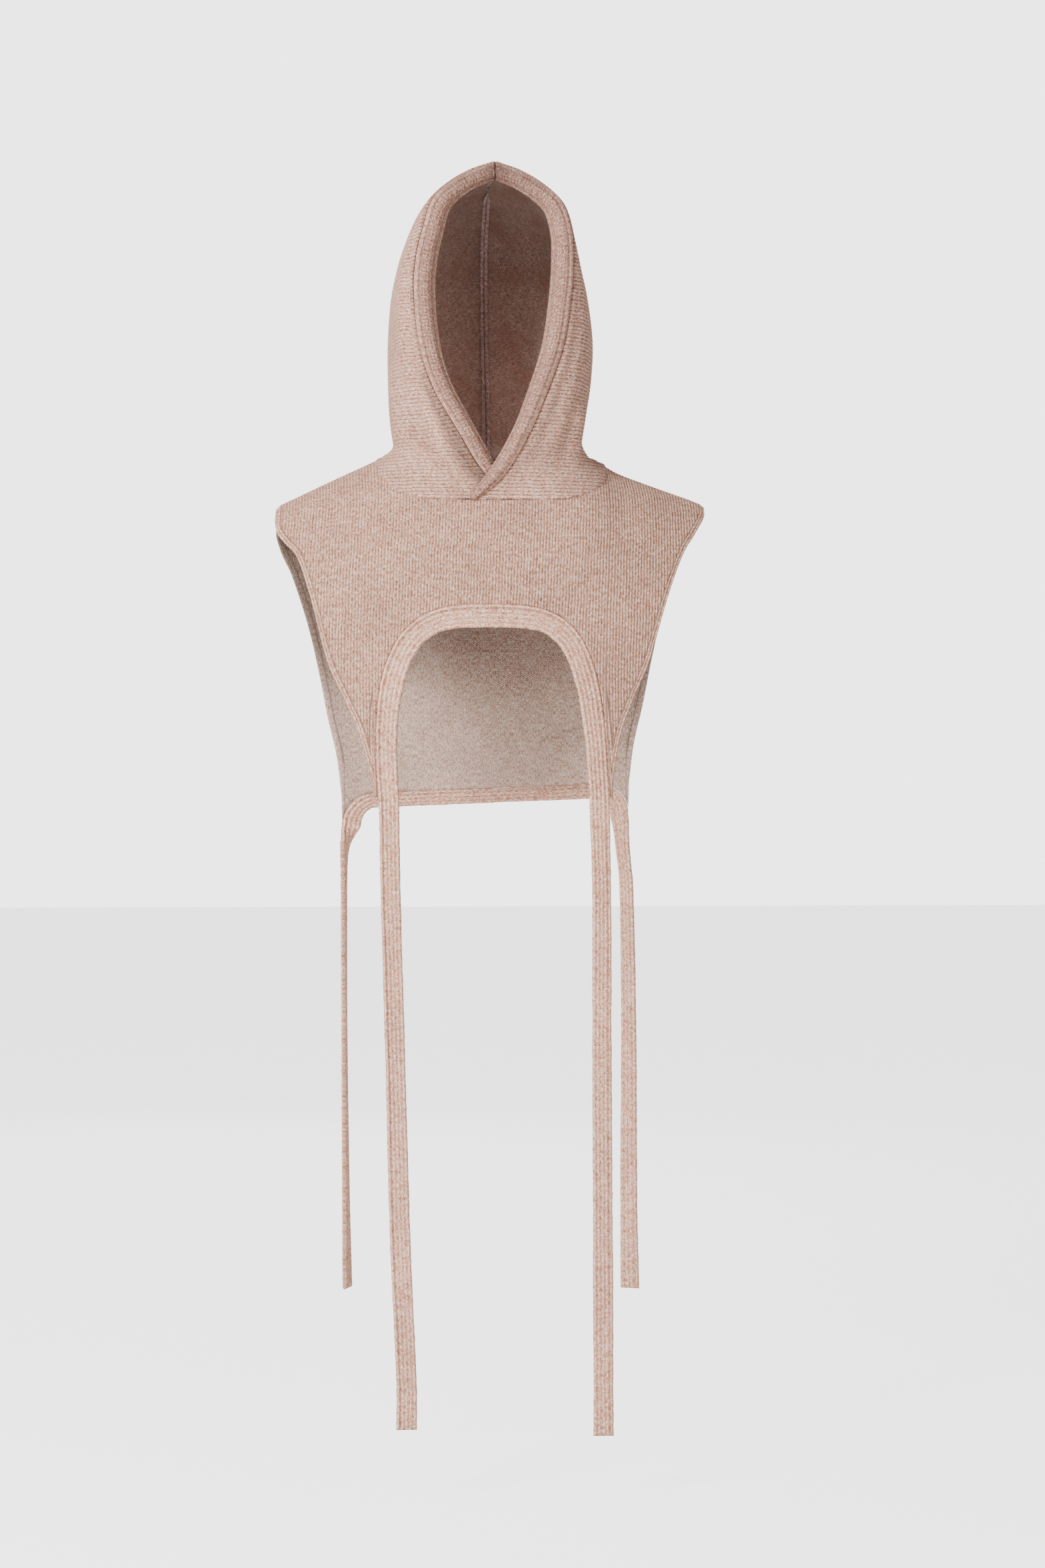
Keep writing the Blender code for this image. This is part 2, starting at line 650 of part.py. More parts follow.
def front_tie_band(name, material, collection):
    """Left tie, arch edging and right tie in one strap."""
    arch_steps = len(ARCH_ANGLES) - 1
    total = TIE_STEPS * 2 + arch_steps

    def lay(x, z):
        y = panel_y(x, z, FRONT_DRAPE) - KNIT_WALL / 2
        return askew(Vector((x, y, z)), FRONT_DRAPE)

    def place(column, row):
        across = column / 2
        if row < TIE_STEPS or row > TIE_STEPS + arch_steps:
            right = row < TIE_STEPS
            sign = 1 if right else -1
            step = TIE_STEPS - row if right else row - TIE_STEPS - arch_steps
            outer = sign * (ARCH_HALF_WIDTH - SEAM_GAP)
            start = lay(outer - sign * FRONT_TIE_WIDTH / 2, -FRONT_LENGTH)
            return hang(TIES["front_right" if right else "front_left"], start, step, across, sign)
        angle = ARCH_ANGLES[row - TIE_STEPS]
        x, z = arch_edge(angle)
        x_on, z_on = arch_edge(min(angle + ARCH_PROBE, math.pi))
        x_off, z_off = arch_edge(max(angle - ARCH_PROBE, 0.0))
        inward = Vector((z_off - z_on, 0.0, x_on - x_off)).normalized()
        crown = smooth(0.0, FULL_WIDTH_FROM, math.sin(angle))
        width = FRONT_TIE_WIDTH + (ARCH_BAND_WIDTH - FRONT_TIE_WIDTH) * crown
        reach = SEAM_GAP + width * across
        return lay(x + inward.x * reach, z + inward.z * reach)

    knit_sheet(name, 2, total, place, TIE_WALL, 0, material, collection)


def hem_path():
    """Corners of the hem edging's upper edge, right to left, with their inward directions."""
    flat = BACK_FOOT_HALF_WIDTH - HEM_CORNER_RADIUS
    path = []
    for step in range(HEM_CORNER_STEPS + 1):
        angle = math.pi / 2 * step / HEM_CORNER_STEPS
        path.append((flat + HEM_CORNER_RADIUS * math.cos(angle),
                     -HEM_CORNER_RADIUS * (1 - math.sin(angle)),
                     -math.cos(angle), -math.sin(angle)))
    for step in range(1, HEM_MIDDLE_STEPS):
        path.append((flat - 2 * flat * step / HEM_MIDDLE_STEPS, 0.0, 0.0, -1.0))
    path += [(-x, z, -inward_x, inward_z) for x, z, inward_x, inward_z in
             reversed(path[:HEM_CORNER_STEPS + 1])]
    return path


def back_tie_band(name, material, collection):
    """Left tie, hem edging and right tie in one strap."""
    path = hem_path()
    hem_steps = len(path) - 1
    total = TIE_STEPS * 2 + hem_steps

    def lay(x, z):
        y = panel_y(x, z, BACK_DRAPE) + KNIT_WALL / 2
        return askew(Vector((x, y, z)), BACK_DRAPE)

    def place(column, row):
        across = column / 2
        if row < TIE_STEPS or row > TIE_STEPS + hem_steps:
            right = row < TIE_STEPS
            sign = 1 if right else -1
            step = TIE_STEPS - row if right else row - TIE_STEPS - hem_steps
            outer = sign * (BACK_FOOT_HALF_WIDTH - SEAM_GAP)
            foot = hem_z(outer) - HEM_CORNER_RADIUS
            start = lay(outer - sign * BACK_TIE_WIDTH / 2, foot)
            return hang(TIES["back_right" if right else "back_left"], start, step, across, sign)
        x, z, inward_x, inward_z = path[row - TIE_STEPS]
        width = HEM_BAND_WIDTH + (BACK_TIE_WIDTH - HEM_BAND_WIDTH) * abs(inward_x)
        reach = SEAM_GAP + width * across
        return lay(x + inward_x * reach, hem_z(x) + z + inward_z * reach)

    knit_sheet(name, 2, total, place, TIE_WALL, 0, material, collection)


def hem_stations():
    """x of the corners of the back panel's hem."""
    return [x for x, z, inward_x, inward_z in hem_path()]


def main():
    """Builds the neck warmer."""
    collection = fresh_collection("hooded_neck_warmer")
    jersey = wool("lambswool_jersey", JERSEY)
    rib = wool("lambswool_rib", RIB)

    hood_half("hood_left", True, jersey, collection)
    hood_half("hood_right", False, jersey, collection)
    hood_seam("hood_seam", rib, collection)
    face_band("face_band_left", True, rib, collection)
    face_band("face_band_right", False, rib, collection)

    arch_x = [arch_edge(angle)[0] for angle in ARCH_ANGLES]
    front_stations = station_list([
        arch_x, both_sides(neck_stations()), [-NECK_HALF_WIDTH, NECK_HALF_WIDTH],
        both_sides(edge_stations(FRONT_EDGE_ROWS, FRONT_FOOT_HALF_WIDTH))])
    panel("front_panel", FRONT_DRAPE, front_stations, front_bottom, jersey, collection)
    back_stations = station_list([
        hem_stations(), both_sides(neck_stations()), [-NECK_HALF_WIDTH, NECK_HALF_WIDTH],
        both_sides(edge_stations(BACK_EDGE_ROWS, BACK_FOOT_HALF_WIDTH))])
    panel("back_panel", BACK_DRAPE, back_stations, back_bottom, jersey, collection)

    front_tie_band("front_tie_band", rib, collection)
    back_tie_band("back_tie_band", rib, collection)


main()
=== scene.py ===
# %% [markdown]
# # Hooded neck warmer in marled lambswool
#
# A knitted hood stands over a short bib. The bib is open at both sides, has an arch cut out
# of its front, and ends in four long straps. Everything is one soft yarn, so the looks come
# from how the knit runs: level in the hood, upright in the bib, lengthwise in the straps.
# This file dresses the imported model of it. Metres, +Z up, the face looks along -Y, and left
# and right are the viewer's.

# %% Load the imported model
from collections import namedtuple

import bpy
import numpy as np
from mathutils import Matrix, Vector
from mathutils.kdtree import KDTree


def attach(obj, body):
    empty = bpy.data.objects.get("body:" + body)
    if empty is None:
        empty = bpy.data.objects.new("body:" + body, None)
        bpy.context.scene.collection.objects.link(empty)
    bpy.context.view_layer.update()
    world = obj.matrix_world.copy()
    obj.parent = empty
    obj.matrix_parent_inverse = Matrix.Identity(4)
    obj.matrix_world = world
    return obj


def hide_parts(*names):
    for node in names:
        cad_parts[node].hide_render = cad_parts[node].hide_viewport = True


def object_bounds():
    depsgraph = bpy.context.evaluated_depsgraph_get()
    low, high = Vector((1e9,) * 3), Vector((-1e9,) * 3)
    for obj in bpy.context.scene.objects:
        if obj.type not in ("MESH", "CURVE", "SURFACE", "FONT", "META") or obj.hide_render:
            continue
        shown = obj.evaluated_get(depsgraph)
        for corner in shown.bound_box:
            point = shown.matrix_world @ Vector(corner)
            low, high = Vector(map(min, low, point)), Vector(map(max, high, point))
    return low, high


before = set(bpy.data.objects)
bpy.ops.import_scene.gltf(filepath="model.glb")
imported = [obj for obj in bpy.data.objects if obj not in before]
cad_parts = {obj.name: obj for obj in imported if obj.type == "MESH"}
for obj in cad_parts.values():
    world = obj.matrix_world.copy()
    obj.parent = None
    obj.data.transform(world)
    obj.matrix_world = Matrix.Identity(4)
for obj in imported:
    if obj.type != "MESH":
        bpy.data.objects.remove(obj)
cad_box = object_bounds()
print("packed pieces:", sorted(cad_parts))

# %% [markdown]
# ## Sizes
#
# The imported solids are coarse, and the real knit is smooth and ribbed. So each sheet is laid
# again on the same surface with many more corners. The named sizes and short tables below
# are those that the solids were made from: lengths in metres, table columns as shares. Only
# the turn of the left back tie is eased a little. A name that ends in _MM is in millimetres.

# %% Named sizes
# Walls and gaps
KNIT_WALL = 0.0028
BAND_WALL = 0.0046
TIE_WALL = 0.0040
SEAM_GAP = 0.0003
RING_GAP = 0.0003
BAND_END_GAP = 0.0006
SEAM_WALL = 0.0022
SEAM_WIDTH = 0.008

# Hood
HOOD_HEIGHT = 0.2700
HOOD_HALF_WIDTH = 0.0940
HOOD_FRONT = 0.0845
HOOD_BACK = 0.1160
FACE_HALF_WIDTH = 0.0725
FACE_BAND_WIDTH = 0.0185
THROAT_OVERLAP = 0.0200
THROAT_SET_BACK = 0.0078
FLARE_SHARE = 0.12
BELLY_OVER = 3 / 7

# Neck ring
NECK_HALF_WIDTH = 0.0950
NECK_FRONT = 0.0860
NECK_BACK = 0.0740
NECK_DROP = 0.0465
NECK_RISE = 0.0080
NECK_SQUARENESS = 3.0

# Bib
SHOULDER_HALF_SPAN = 0.2010
SHOULDER_DROP = 0.0500
SHOULDER_SEAM_FORWARD = 0.0080
SHOULDER_TILT = 0.012
TORSO_HALF_WIDTH = 0.235
FRONT_LENGTH = 0.3180
FRONT_FOOT_HALF_WIDTH = 0.1085
BACK_LENGTH = 0.3105
BACK_FOOT_HALF_WIDTH = 0.1390
HEM_TILT = 0.040
FRONT_SWAY = -0.0060

# Arch, edging and ties
ARCH_HALF_WIDTH = 0.1055
ARCH_SHIFT = -0.0025
ARCH_RISE = 0.1755
ARCH_SQUARENESS = 3.3
ARCH_BAND_WIDTH = 0.0210
FRONT_TIE_WIDTH = 0.0186
HEM_BAND_WIDTH = 0.0140
BACK_TIE_WIDTH = 0.0180
HEM_CORNER_RADIUS = 0.0300

Drape = namedtuple("Drape", "sign depth roll drop neck_depth neck_height flatness")
FRONT_DRAPE = Drape(-1, 0.1100, 0.025, 0.130, NECK_FRONT, -NECK_DROP, 5.2)
BACK_DRAPE = Drape(1, 0.0960, 0.000, 0.050, NECK_BACK, NECK_RISE, 2.0)
print("hood", HOOD_HEIGHT, "m high; shoulders", 2 * SHOULDER_HALF_SPAN, "m across")

# %% Rows of the hood, from the neck ring to the crest
HoodRow = namedtuple(
    "HoodRow",
    "up cross tuck rim_left rim_right rim_y rim_z belly_left belly_right belly_y belly_z"
    " back_y back_z band")
HOOD_ROWS = [HoodRow(*row) for row in (
    (0.00, 1.00, 1.0, 0.000, 0.000, 0.970, 0.000, 0.900, 0.885, 0.00, 0.000, 0.590, 0.030, 0.25),
    (0.10, 0.45, 1.0, 0.250, 0.230, 0.985, 0.000, 0.945, 0.880, 0.02, 0.050, 0.610, 0.080, 0.62),
    (0.21, 0.05, 0.4, 0.460, 0.425, 1.000, 0.066, 0.985, 0.925, 0.05, 0.150, 0.690, 0.180, 0.72),
    (0.33, 0.00, 0.0, 0.785, 0.660, 0.970, 0.212, 1.000, 0.985, 0.09, 0.281, 0.790, 0.305, 0.84),
    (0.45, 0.00, 0.0, 0.965, 0.855, 0.930, 0.363, 1.000, 1.000, 0.12, 0.410, 0.890, 0.430, 0.95),
    (0.59, 0.00, 0.0, 1.035, 0.965, 0.885, 0.549, 0.970, 0.940, 0.13, 0.556, 0.975, 0.570, 1.00),
    (0.68, 0.00, 0.0, 1.000, 0.990, 0.870, 0.670, 0.915, 0.850, 0.12, 0.657, 1.000, 0.675, 1.00),
    (0.74, 0.00, 0.0, 0.915, 0.965, 0.865, 0.762, 0.845, 0.770, 0.10, 0.736, 0.975, 0.758, 0.96),
    (0.81, 0.00, 0.0, 0.800, 0.840, 0.870, 0.855, 0.725, 0.690, 0.06, 0.822, 0.880, 0.850, 0.90),
    (0.87, 0.00, 0.0, 0.595, 0.605, 0.870, 0.914, 0.510, 0.510, 0.00, 0.900, 0.710, 0.920, 0.82),
    (0.94, 0.00, 0.0, 0.305, 0.305, 0.870, 0.962, 0.260, 0.260, -0.08, 0.965, 0.480, 0.972, 0.76),
    (1.00, 0.00, 0.0, 0.000, 0.000, 0.870, 0.992, 0.000, 0.000, -0.17, 1.000, 0.210, 0.992, 0.74),
)]

# A fold runs from a place at the foot to a place higher up, and a negative height is a hollow
FOLD_DEPTH = 0.0090
CREST_SETTLE = 0.0024
HALVES_MEET = -0.0004
Fold = namedtuple("Fold", "half foot_over head_over foot_up head_up half_width height")
HOOD_FOLDS = [
    Fold("left", 0.33, 0.28, 0.02, 0.40, 0.080, 0.6),
    Fold("left", 0.22, 0.17, 0.04, 0.30, 0.050, -0.7),
    Fold("right", 0.40, 0.46, 0.00, 0.22, 0.045, -1.0),
    Fold("right", 0.29, 0.26, 0.02, 0.30, 0.060, 0.6),
    Fold("left", 0.13, 0.09, 0.02, 0.85, 0.090, -0.8),
    Fold("right", 0.10, 0.09, 0.04, 0.85, 0.070, -0.3),
]
print(len(HOOD_ROWS), "hood rows,", len(HOOD_FOLDS), "folds")

# %% Edges of the bib
# out runs from the neck or the foot to the shoulder tip, and left and right say how far the
# edge has dropped there
EdgeRow = namedtuple("EdgeRow", "out left right")
SHOULDER_ROWS = [EdgeRow(*row) for row in (
    (0.000, 0.000, 0.000), (0.080, 0.045, 0.110), (0.200, 0.165, 0.270), (0.510, 0.460, 0.540),
    (0.810, 0.750, 0.790), (0.955, 0.900, 0.920), (1.000, 1.000, 1.000))]
FRONT_EDGE_ROWS = [EdgeRow(*row) for row in (
    (0.000, 1.000, 1.000), (0.011, 0.953, 0.953), (0.054, 0.877, 0.877), (0.129, 0.772, 0.772),
    (0.258, 0.664, 0.664), (0.409, 0.548, 0.548), (0.470, 0.478, 0.478), (0.608, 0.306, 0.306),
    (0.753, 0.173, 0.169), (0.882, 0.120, 0.096), (0.968, 0.080, 0.046), (1.000, 0.039, 0.021))]
BACK_EDGE_ROWS = [EdgeRow(*row) for row in (
    (0.000, 1.000, 1.000), (0.072, 0.866, 0.859), (0.216, 0.716, 0.700), (0.344, 0.562, 0.536),
    (0.504, 0.398, 0.362), (0.760, 0.208, 0.158), (0.920, 0.127, 0.072), (1.000, 0.070, 0.010))]

# %% The four hanging ties
# drift and forward are in widths of the tie, turn is in degrees round the upright
TieRow = namedtuple("TieRow", "down drift forward turn width")
Tie = namedtuple("Tie", "width length rows")
TIES = {
    "front_left": Tie(FRONT_TIE_WIDTH, 0.5760, [TieRow(*row) for row in (
        (0.00, 0.00, 0.00, 0, 1.00), (0.15, 0.08, 0.05, -4, 0.99), (0.40, 0.30, 0.12, 6, 0.97),
        (0.70, 0.55, 0.02, -6, 1.00), (0.93, 0.86, -0.10, 3, 1.02),
        (1.00, 0.86, -0.12, 2, 1.03))]),
    "front_right": Tie(FRONT_TIE_WIDTH, 0.5840, [TieRow(*row) for row in (
        (0.00, 0.00, 0.00, 0, 1.00), (0.15, 0.12, 0.04, 8, 0.95), (0.40, 0.14, 0.10, -6, 0.94),
        (0.70, 0.18, 0.04, 5, 0.98), (0.93, 0.20, -0.08, -4, 0.98),
        (1.00, 0.20, -0.10, -2, 1.00))]),
    "back_left": Tie(BACK_TIE_WIDTH, 0.4470, [TieRow(*row) for row in (
        (0.00, 0.00, 0.00, 0, 1.00), (0.018, -0.16, 0.03, 42, 1.00),
        (0.045, -0.33, 0.05, 68, 1.00), (0.09, -0.38, 0.06, 79, 1.00),
        (0.20, -0.38, 0.08, 82, 1.00), (0.45, -0.36, 0.12, 83, 1.00),
        (0.80, -0.28, 0.06, 76, 1.00), (1.00, -0.20, 0.02, 68, 1.02))]),
    "back_right": Tie(BACK_TIE_WIDTH, 0.4620, [TieRow(*row) for row in (
        (0.00, 0.00, 0.00, 0, 1.00), (0.025, 0.10, 0.02, -36, 1.00),
        (0.08, 0.22, 0.05, -50, 1.00), (0.15, 0.40, 0.08, -52, 1.00),
        (0.45, 0.54, 0.10, -45, 1.00), (0.80, 0.54, 0.04, -34, 1.00),
        (1.00, 0.60, 0.00, -22, 1.04))]),
}
print({name: tie.length for name, tie in TIES.items()})

# %% [markdown]
# ## The surfaces
#
# A cloth surface is easiest to control as a function of two shares: how far across and how
# far along. With numpy, one call places all the corners of a fine grid at once. A few small
# curves do most of the work: a smooth table lookup, a soft step and a superellipse, which is
# a circle that can be squared off.

# %% Small curves
def along(rows, column, share):
    """Value of a table's column at a share of its first column, by smooth cubic steps."""
    knots = np.array([row[0] for row in rows])
    values = np.array([getattr(row, column) for row in rows], float)
    low = np.maximum(np.arange(len(knots)) - 1, 0)
    high = np.minimum(np.arange(len(knots)) + 1, len(knots) - 1)
    slopes = (values[high] - values[low]) / (knots[high] - knots[low])
    i = np.clip(np.searchsorted(knots, share) - 1, 0, len(knots) - 2)
    width = knots[i + 1] - knots[i]
    t = np.clip((share - knots[i]) / width, 0, 1)
    step = 3 * t ** 2 - 2 * t ** 3
    leaving = (t ** 3 - 2 * t ** 2 + t) * width * slopes[i]
    arriving = (t ** 3 - t ** 2) * width * slopes[i + 1]
    return (1 - step) * values[i] + leaving + step * values[i + 1] + arriving


def smooth(low, high, value):
    """0 below low, 1 above high, and a soft step between them."""
    t = np.clip((value - low) / (high - low), 0, 1)
    return t * t * (3 - 2 * t)


def plateau(value, rise_from, rise_to, fall_from, fall_to):
    """0 outside, 1 in between, with a soft step up and a soft step down."""
    return smooth(rise_from, rise_to, value) * (1 - smooth(fall_from, fall_to, value))


def hill(value, centre, breadth):
    """1 at the centre, falling off softly on both sides."""
    return np.exp(-((value - centre) / breadth) ** 2)


def round_depth(share, squareness):
    """Other coordinate of a unit superellipse at this share of its width."""
    return np.maximum(0, 1 - np.abs(share) ** squareness) ** (1 / squareness)


def place(x, y, z):
    """Points from three coordinates of any matching shapes."""
    return np.stack(np.broadcast_arrays(x, y, z), axis=-1).astype(float)


def unit(vectors):
    """Vectors made one long."""
    return vectors / np.maximum(np.linalg.norm(vectors, axis=-1, keepdims=True), 1e-12)


print("soft step at a quarter, a half and the end:", smooth(0, 1, np.array([0.25, 0.5, 1.0])))

# %% [markdown]
# ## How the bib hangs
#
# The real bib is two flat cut panels that lie over the shoulders. A cloth simulation could let
# them fall on a body, but there is no body here, and the photo shows how they came to rest. So
# each panel follows a quarter of an ellipse from the shoulder out to the chest or back, then
# falls straight down. Inside the neck the ellipse starts higher, and the neck ring is where
# the hood's foot cuts it.

# %% Bib surface
TORSO_SQUARENESS = 2
STEEPEST_START = 0.99


def torso_reach(x, drape):
    """How far forward or back a panel's arc reaches at x, less towards the arms."""
    return drape.depth * round_depth(x / TORSO_HALF_WIDTH, TORSO_SQUARENESS) + drape.roll


def drape_angle(x, y, drape):
    """Angle of a panel's arc at a place, from 0 at its crown to a quarter turn at the chest."""
    share = (drape.sign * y + drape.roll) / torso_reach(x, drape)
    return np.arcsin(np.minimum(share, STEEPEST_START))


def drape_fall(x, y, drape):
    """How far a panel has fallen below its crown at a place."""
    return drape.drop * (1 - np.cos(drape_angle(x, y, drape)))


def drape_crown(x, drape):
    """Height of the arc's crown inside the neck ring, going on from the shoulders' slope."""
    middle = drape.neck_height + drape_fall(0.0, drape.sign * drape.neck_depth, drape)
    flank = drape_fall(NECK_HALF_WIDTH, 0.0, drape)
    return middle + (flank - middle) * (np.abs(x) / NECK_HALF_WIDTH) ** drape.flatness


def neck_ring(x, drape):
    """Point of the neck ring at x, on its front or back half."""
    share = np.minimum(np.abs(x) / NECK_HALF_WIDTH, 1)
    y = drape.sign * drape.neck_depth * round_depth(share, NECK_SQUARENESS)
    return place(x, y, drape_crown(x, drape) - drape_fall(x, y, drape))


def two_sided(rows, x, out):
    """A table's value at each x, from its left or right column."""
    return np.where(x < 0, along(rows, "left", out), along(rows, "right", out))


def top_line(x, drape):
    """Upper edge of a panel: the neck ring, and outside it the shoulder seam."""
    out = np.maximum((np.abs(x) - NECK_HALF_WIDTH) / (SHOULDER_HALF_SPAN - NECK_HALF_WIDTH), 0)
    shoulder = place(x, -SHOULDER_SEAM_FORWARD * out,
                     -SHOULDER_DROP * two_sided(SHOULDER_ROWS, x, out))
    inside = (np.abs(x) <= NECK_HALF_WIDTH)[..., None]
    return np.where(inside, neck_ring(x, drape), shoulder)


print("neck ring at its front and flank:",
      neck_ring(np.array([0.0, NECK_HALF_WIDTH]), FRONT_DRAPE).round(4).tolist())

# %% The arcs that a panel follows
CORNER_FROM = 0.0800
EASE_MM = 14
EASE_STEPS = 15
EASE_FADES = (0.012, 0.040)
LEVEL_SHARE = 0.75
LEVEL_ROWS = 0.56
ARCH_SHIFT_FROM = 0.3


def panel_arc(x, drape):
    """The crown height of the arc that a panel follows at x, and the angle of its upper edge.

    Where the neck ring ends and the shoulder seam starts the crown is eased over, so that no
    crease runs down from there. In the corners of the neck ring, which the hood's foot covers,
    the panel runs straight to the shoulder seam, so that its columns of corners don't jump.
    """
    top = top_line(x, drape)
    reach = EASE_MM / 1000 * (1 - smooth(*EASE_FADES, np.abs(np.abs(x) - NECK_HALF_WIDTH)))
    crown = 0.0
    for share in np.linspace(-1, 1, EASE_STEPS + 2)[1:-1]:
        beside = top_line(x + reach * share, drape)
        weight = (1 - abs(share)) * 2 / (EASE_STEPS + 1)
        crown = crown + weight * (beside[..., 2]
                                  + drape_fall(x + reach * share, beside[..., 1], drape))
    past = np.clip((np.abs(x) - CORNER_FROM) / (NECK_HALF_WIDTH - CORNER_FROM), 0, 1)
    corner_y = (drape.sign * drape.neck_depth * (1 - past)
                * round_depth(CORNER_FROM / NECK_HALF_WIDTH, NECK_SQUARENESS))
    start_y = np.where((past > 0) & (past < 1), corner_y, top[..., 1])
    return crown, drape_angle(x, start_y, drape)


def arc_y(x, angle, drape):
    """Depth of a panel where its arc has this angle."""
    return drape.sign * (torso_reach(x, drape) * np.sin(angle) - drape.roll)


def panel_y(x, z, drape):
    """Depth of the panel's inner face at x and z."""
    crown, start = panel_arc(x, drape)
    fall = np.clip((crown - z) / drape.drop, 0, 1)
    return arc_y(x, np.maximum(np.arccos(1 - fall), start), drape)


def panel_point(x, down, bottom, drape):
    """Point of the panel at x, a share down from its upper edge to its lower edge.

    The first rows cover the rolled part and stay level in it, and the others share the rest.
    """
    crown, start = panel_arc(x, drape)
    fall = (crown - bottom) / drape.drop
    rolled = (np.arccos(1 - np.minimum(fall, 1)) - start) * drape.drop
    total = rolled + np.maximum(fall - 1, 0) * drape.drop
    level = np.minimum(rolled, LEVEL_SHARE * total)
    run = np.where(down < LEVEL_ROWS, level * down / LEVEL_ROWS,
                   level + (total - level) * (down - LEVEL_ROWS) / (1 - LEVEL_ROWS))
    angle = start + np.minimum(run, rolled) / drape.drop
    z = crown - drape.drop * (1 - np.cos(angle)) - np.maximum(run - rolled, 0)
    return place(x, arc_y(x, angle, drape), z)


def askew(points, drape):
    """The bib hangs with its left shoulder a little lower and its front a little to the left."""
    x, y, z = points[..., 0], points[..., 1], points[..., 2]
    weight = smooth(NECK_HALF_WIDTH, SHOULDER_HALF_SPAN, np.abs(x))
    sway = 0.0
    if drape == FRONT_DRAPE:
        down = np.clip(-(z + NECK_DROP) / (FRONT_LENGTH - NECK_DROP), 0, 1)
        sway = FRONT_SWAY * np.sin(np.pi * down) + ARCH_SHIFT * smooth(ARCH_SHIFT_FROM, 1.0, down)
    return place(x + sway, y, z + SHOULDER_TILT * x * weight)


print("front of the chest at z -0.2: y",
      panel_y(np.array(0.0), -0.2, FRONT_DRAPE).round(4))

# %% Lower edges of the bib
def edge_z(x, rows, foot_half_width, foot_z):
    """z of a panel's free side edge, between the shoulder tip and the foot."""
    out = np.maximum((np.abs(x) - foot_half_width) / (SHOULDER_HALF_SPAN - foot_half_width), 0)
    return -SHOULDER_DROP + (foot_z + SHOULDER_DROP) * two_sided(rows, x, out)


def arch_edge(angle):
    """x and z of the front panel's arch, from its right foot (0) to its left (pi)."""
    power = 2 / ARCH_SQUARENESS
    c, s = np.cos(angle), np.sin(angle)
    x = ARCH_HALF_WIDTH * np.sign(c) * np.abs(c) ** power
    return x, -FRONT_LENGTH + ARCH_RISE * np.maximum(s, 0) ** power


def front_bottom(x):
    """Lower edge of the front panel: the arch, the foot of a leg, then the side edge."""
    arch = ARCH_RISE * round_depth(np.minimum(np.abs(x) / ARCH_HALF_WIDTH, 1), ARCH_SQUARENESS)
    side = edge_z(x, FRONT_EDGE_ROWS, FRONT_FOOT_HALF_WIDTH, -FRONT_LENGTH)
    return np.where(np.abs(x) <= FRONT_FOOT_HALF_WIDTH, arch - FRONT_LENGTH, side)


def hem_z(x):
    """Lower edge of the back panel, which hangs a little lower at the left."""
    return -BACK_LENGTH + HEM_TILT * x


def back_bottom(x):
    """Lower edge of the back panel: the hem with its round corners, then the side edge."""
    past = np.maximum(np.abs(x) - (BACK_FOOT_HALF_WIDTH - HEM_CORNER_RADIUS), 0)
    corner = HEM_CORNER_RADIUS - np.sqrt(np.maximum(HEM_CORNER_RADIUS ** 2 - past ** 2, 0))
    foot_z = hem_z(np.sign(x) * BACK_FOOT_HALF_WIDTH)
    side = edge_z(x, BACK_EDGE_ROWS, BACK_FOOT_HALF_WIDTH, foot_z)
    return np.where(np.abs(x) <= BACK_FOOT_HALF_WIDTH, hem_z(x) - corner, side)


print("lower edges at the middle: front", front_bottom(np.array(0.0)),
      "back", back_bottom(np.array(0.0)))

# %% [markdown]
# ## How the hood stands
#
# The real hood is two shaped pieces joined over the crown, held up in the photo by a head that
# isn't seen. It could be sculpted, but a sculpted shape is hard to change. Here each half runs
# from the rim of the face opening, round the side of the head, to the centre seam, and a row of
# the table says where those three places are at one height. Near the neck the hood flares out
# onto the ring, and a few soft folds are lifted out of it.

# %% Hood surface
LOW_SQUARENESS = 2.8
HIGH_SQUARENESS = 2.2
SQUARENESS_CHANGES = (0.1, 0.4)
BACK_ROUNDNESS = 0.87


def hood_row(up, left):
    """The rim, belly and back points of rows of a half, as if it were the right one."""
    side = "left" if left else "right"
    cross = along(HOOD_ROWS, "cross", up)
    set_back = THROAT_SET_BACK * along(HOOD_ROWS, "tuck", up) if left else 0.0
    rim = place(FACE_HALF_WIDTH * along(HOOD_ROWS, "rim_" + side, up) - THROAT_OVERLAP * cross,
                -HOOD_FRONT * along(HOOD_ROWS, "rim_y", up) + set_back,
                HOOD_HEIGHT * along(HOOD_ROWS, "rim_z", up) - NECK_DROP * cross)
    belly = place(HOOD_HALF_WIDTH * along(HOOD_ROWS, "belly_" + side, up),
                  HOOD_BACK * along(HOOD_ROWS, "belly_y", up),
                  HOOD_HEIGHT * along(HOOD_ROWS, "belly_z", up))
    back = place(0.0 * up, HOOD_BACK * along(HOOD_ROWS, "back_y", up),
                 HOOD_HEIGHT * along(HOOD_ROWS, "back_z", up))
    return rim, belly, back


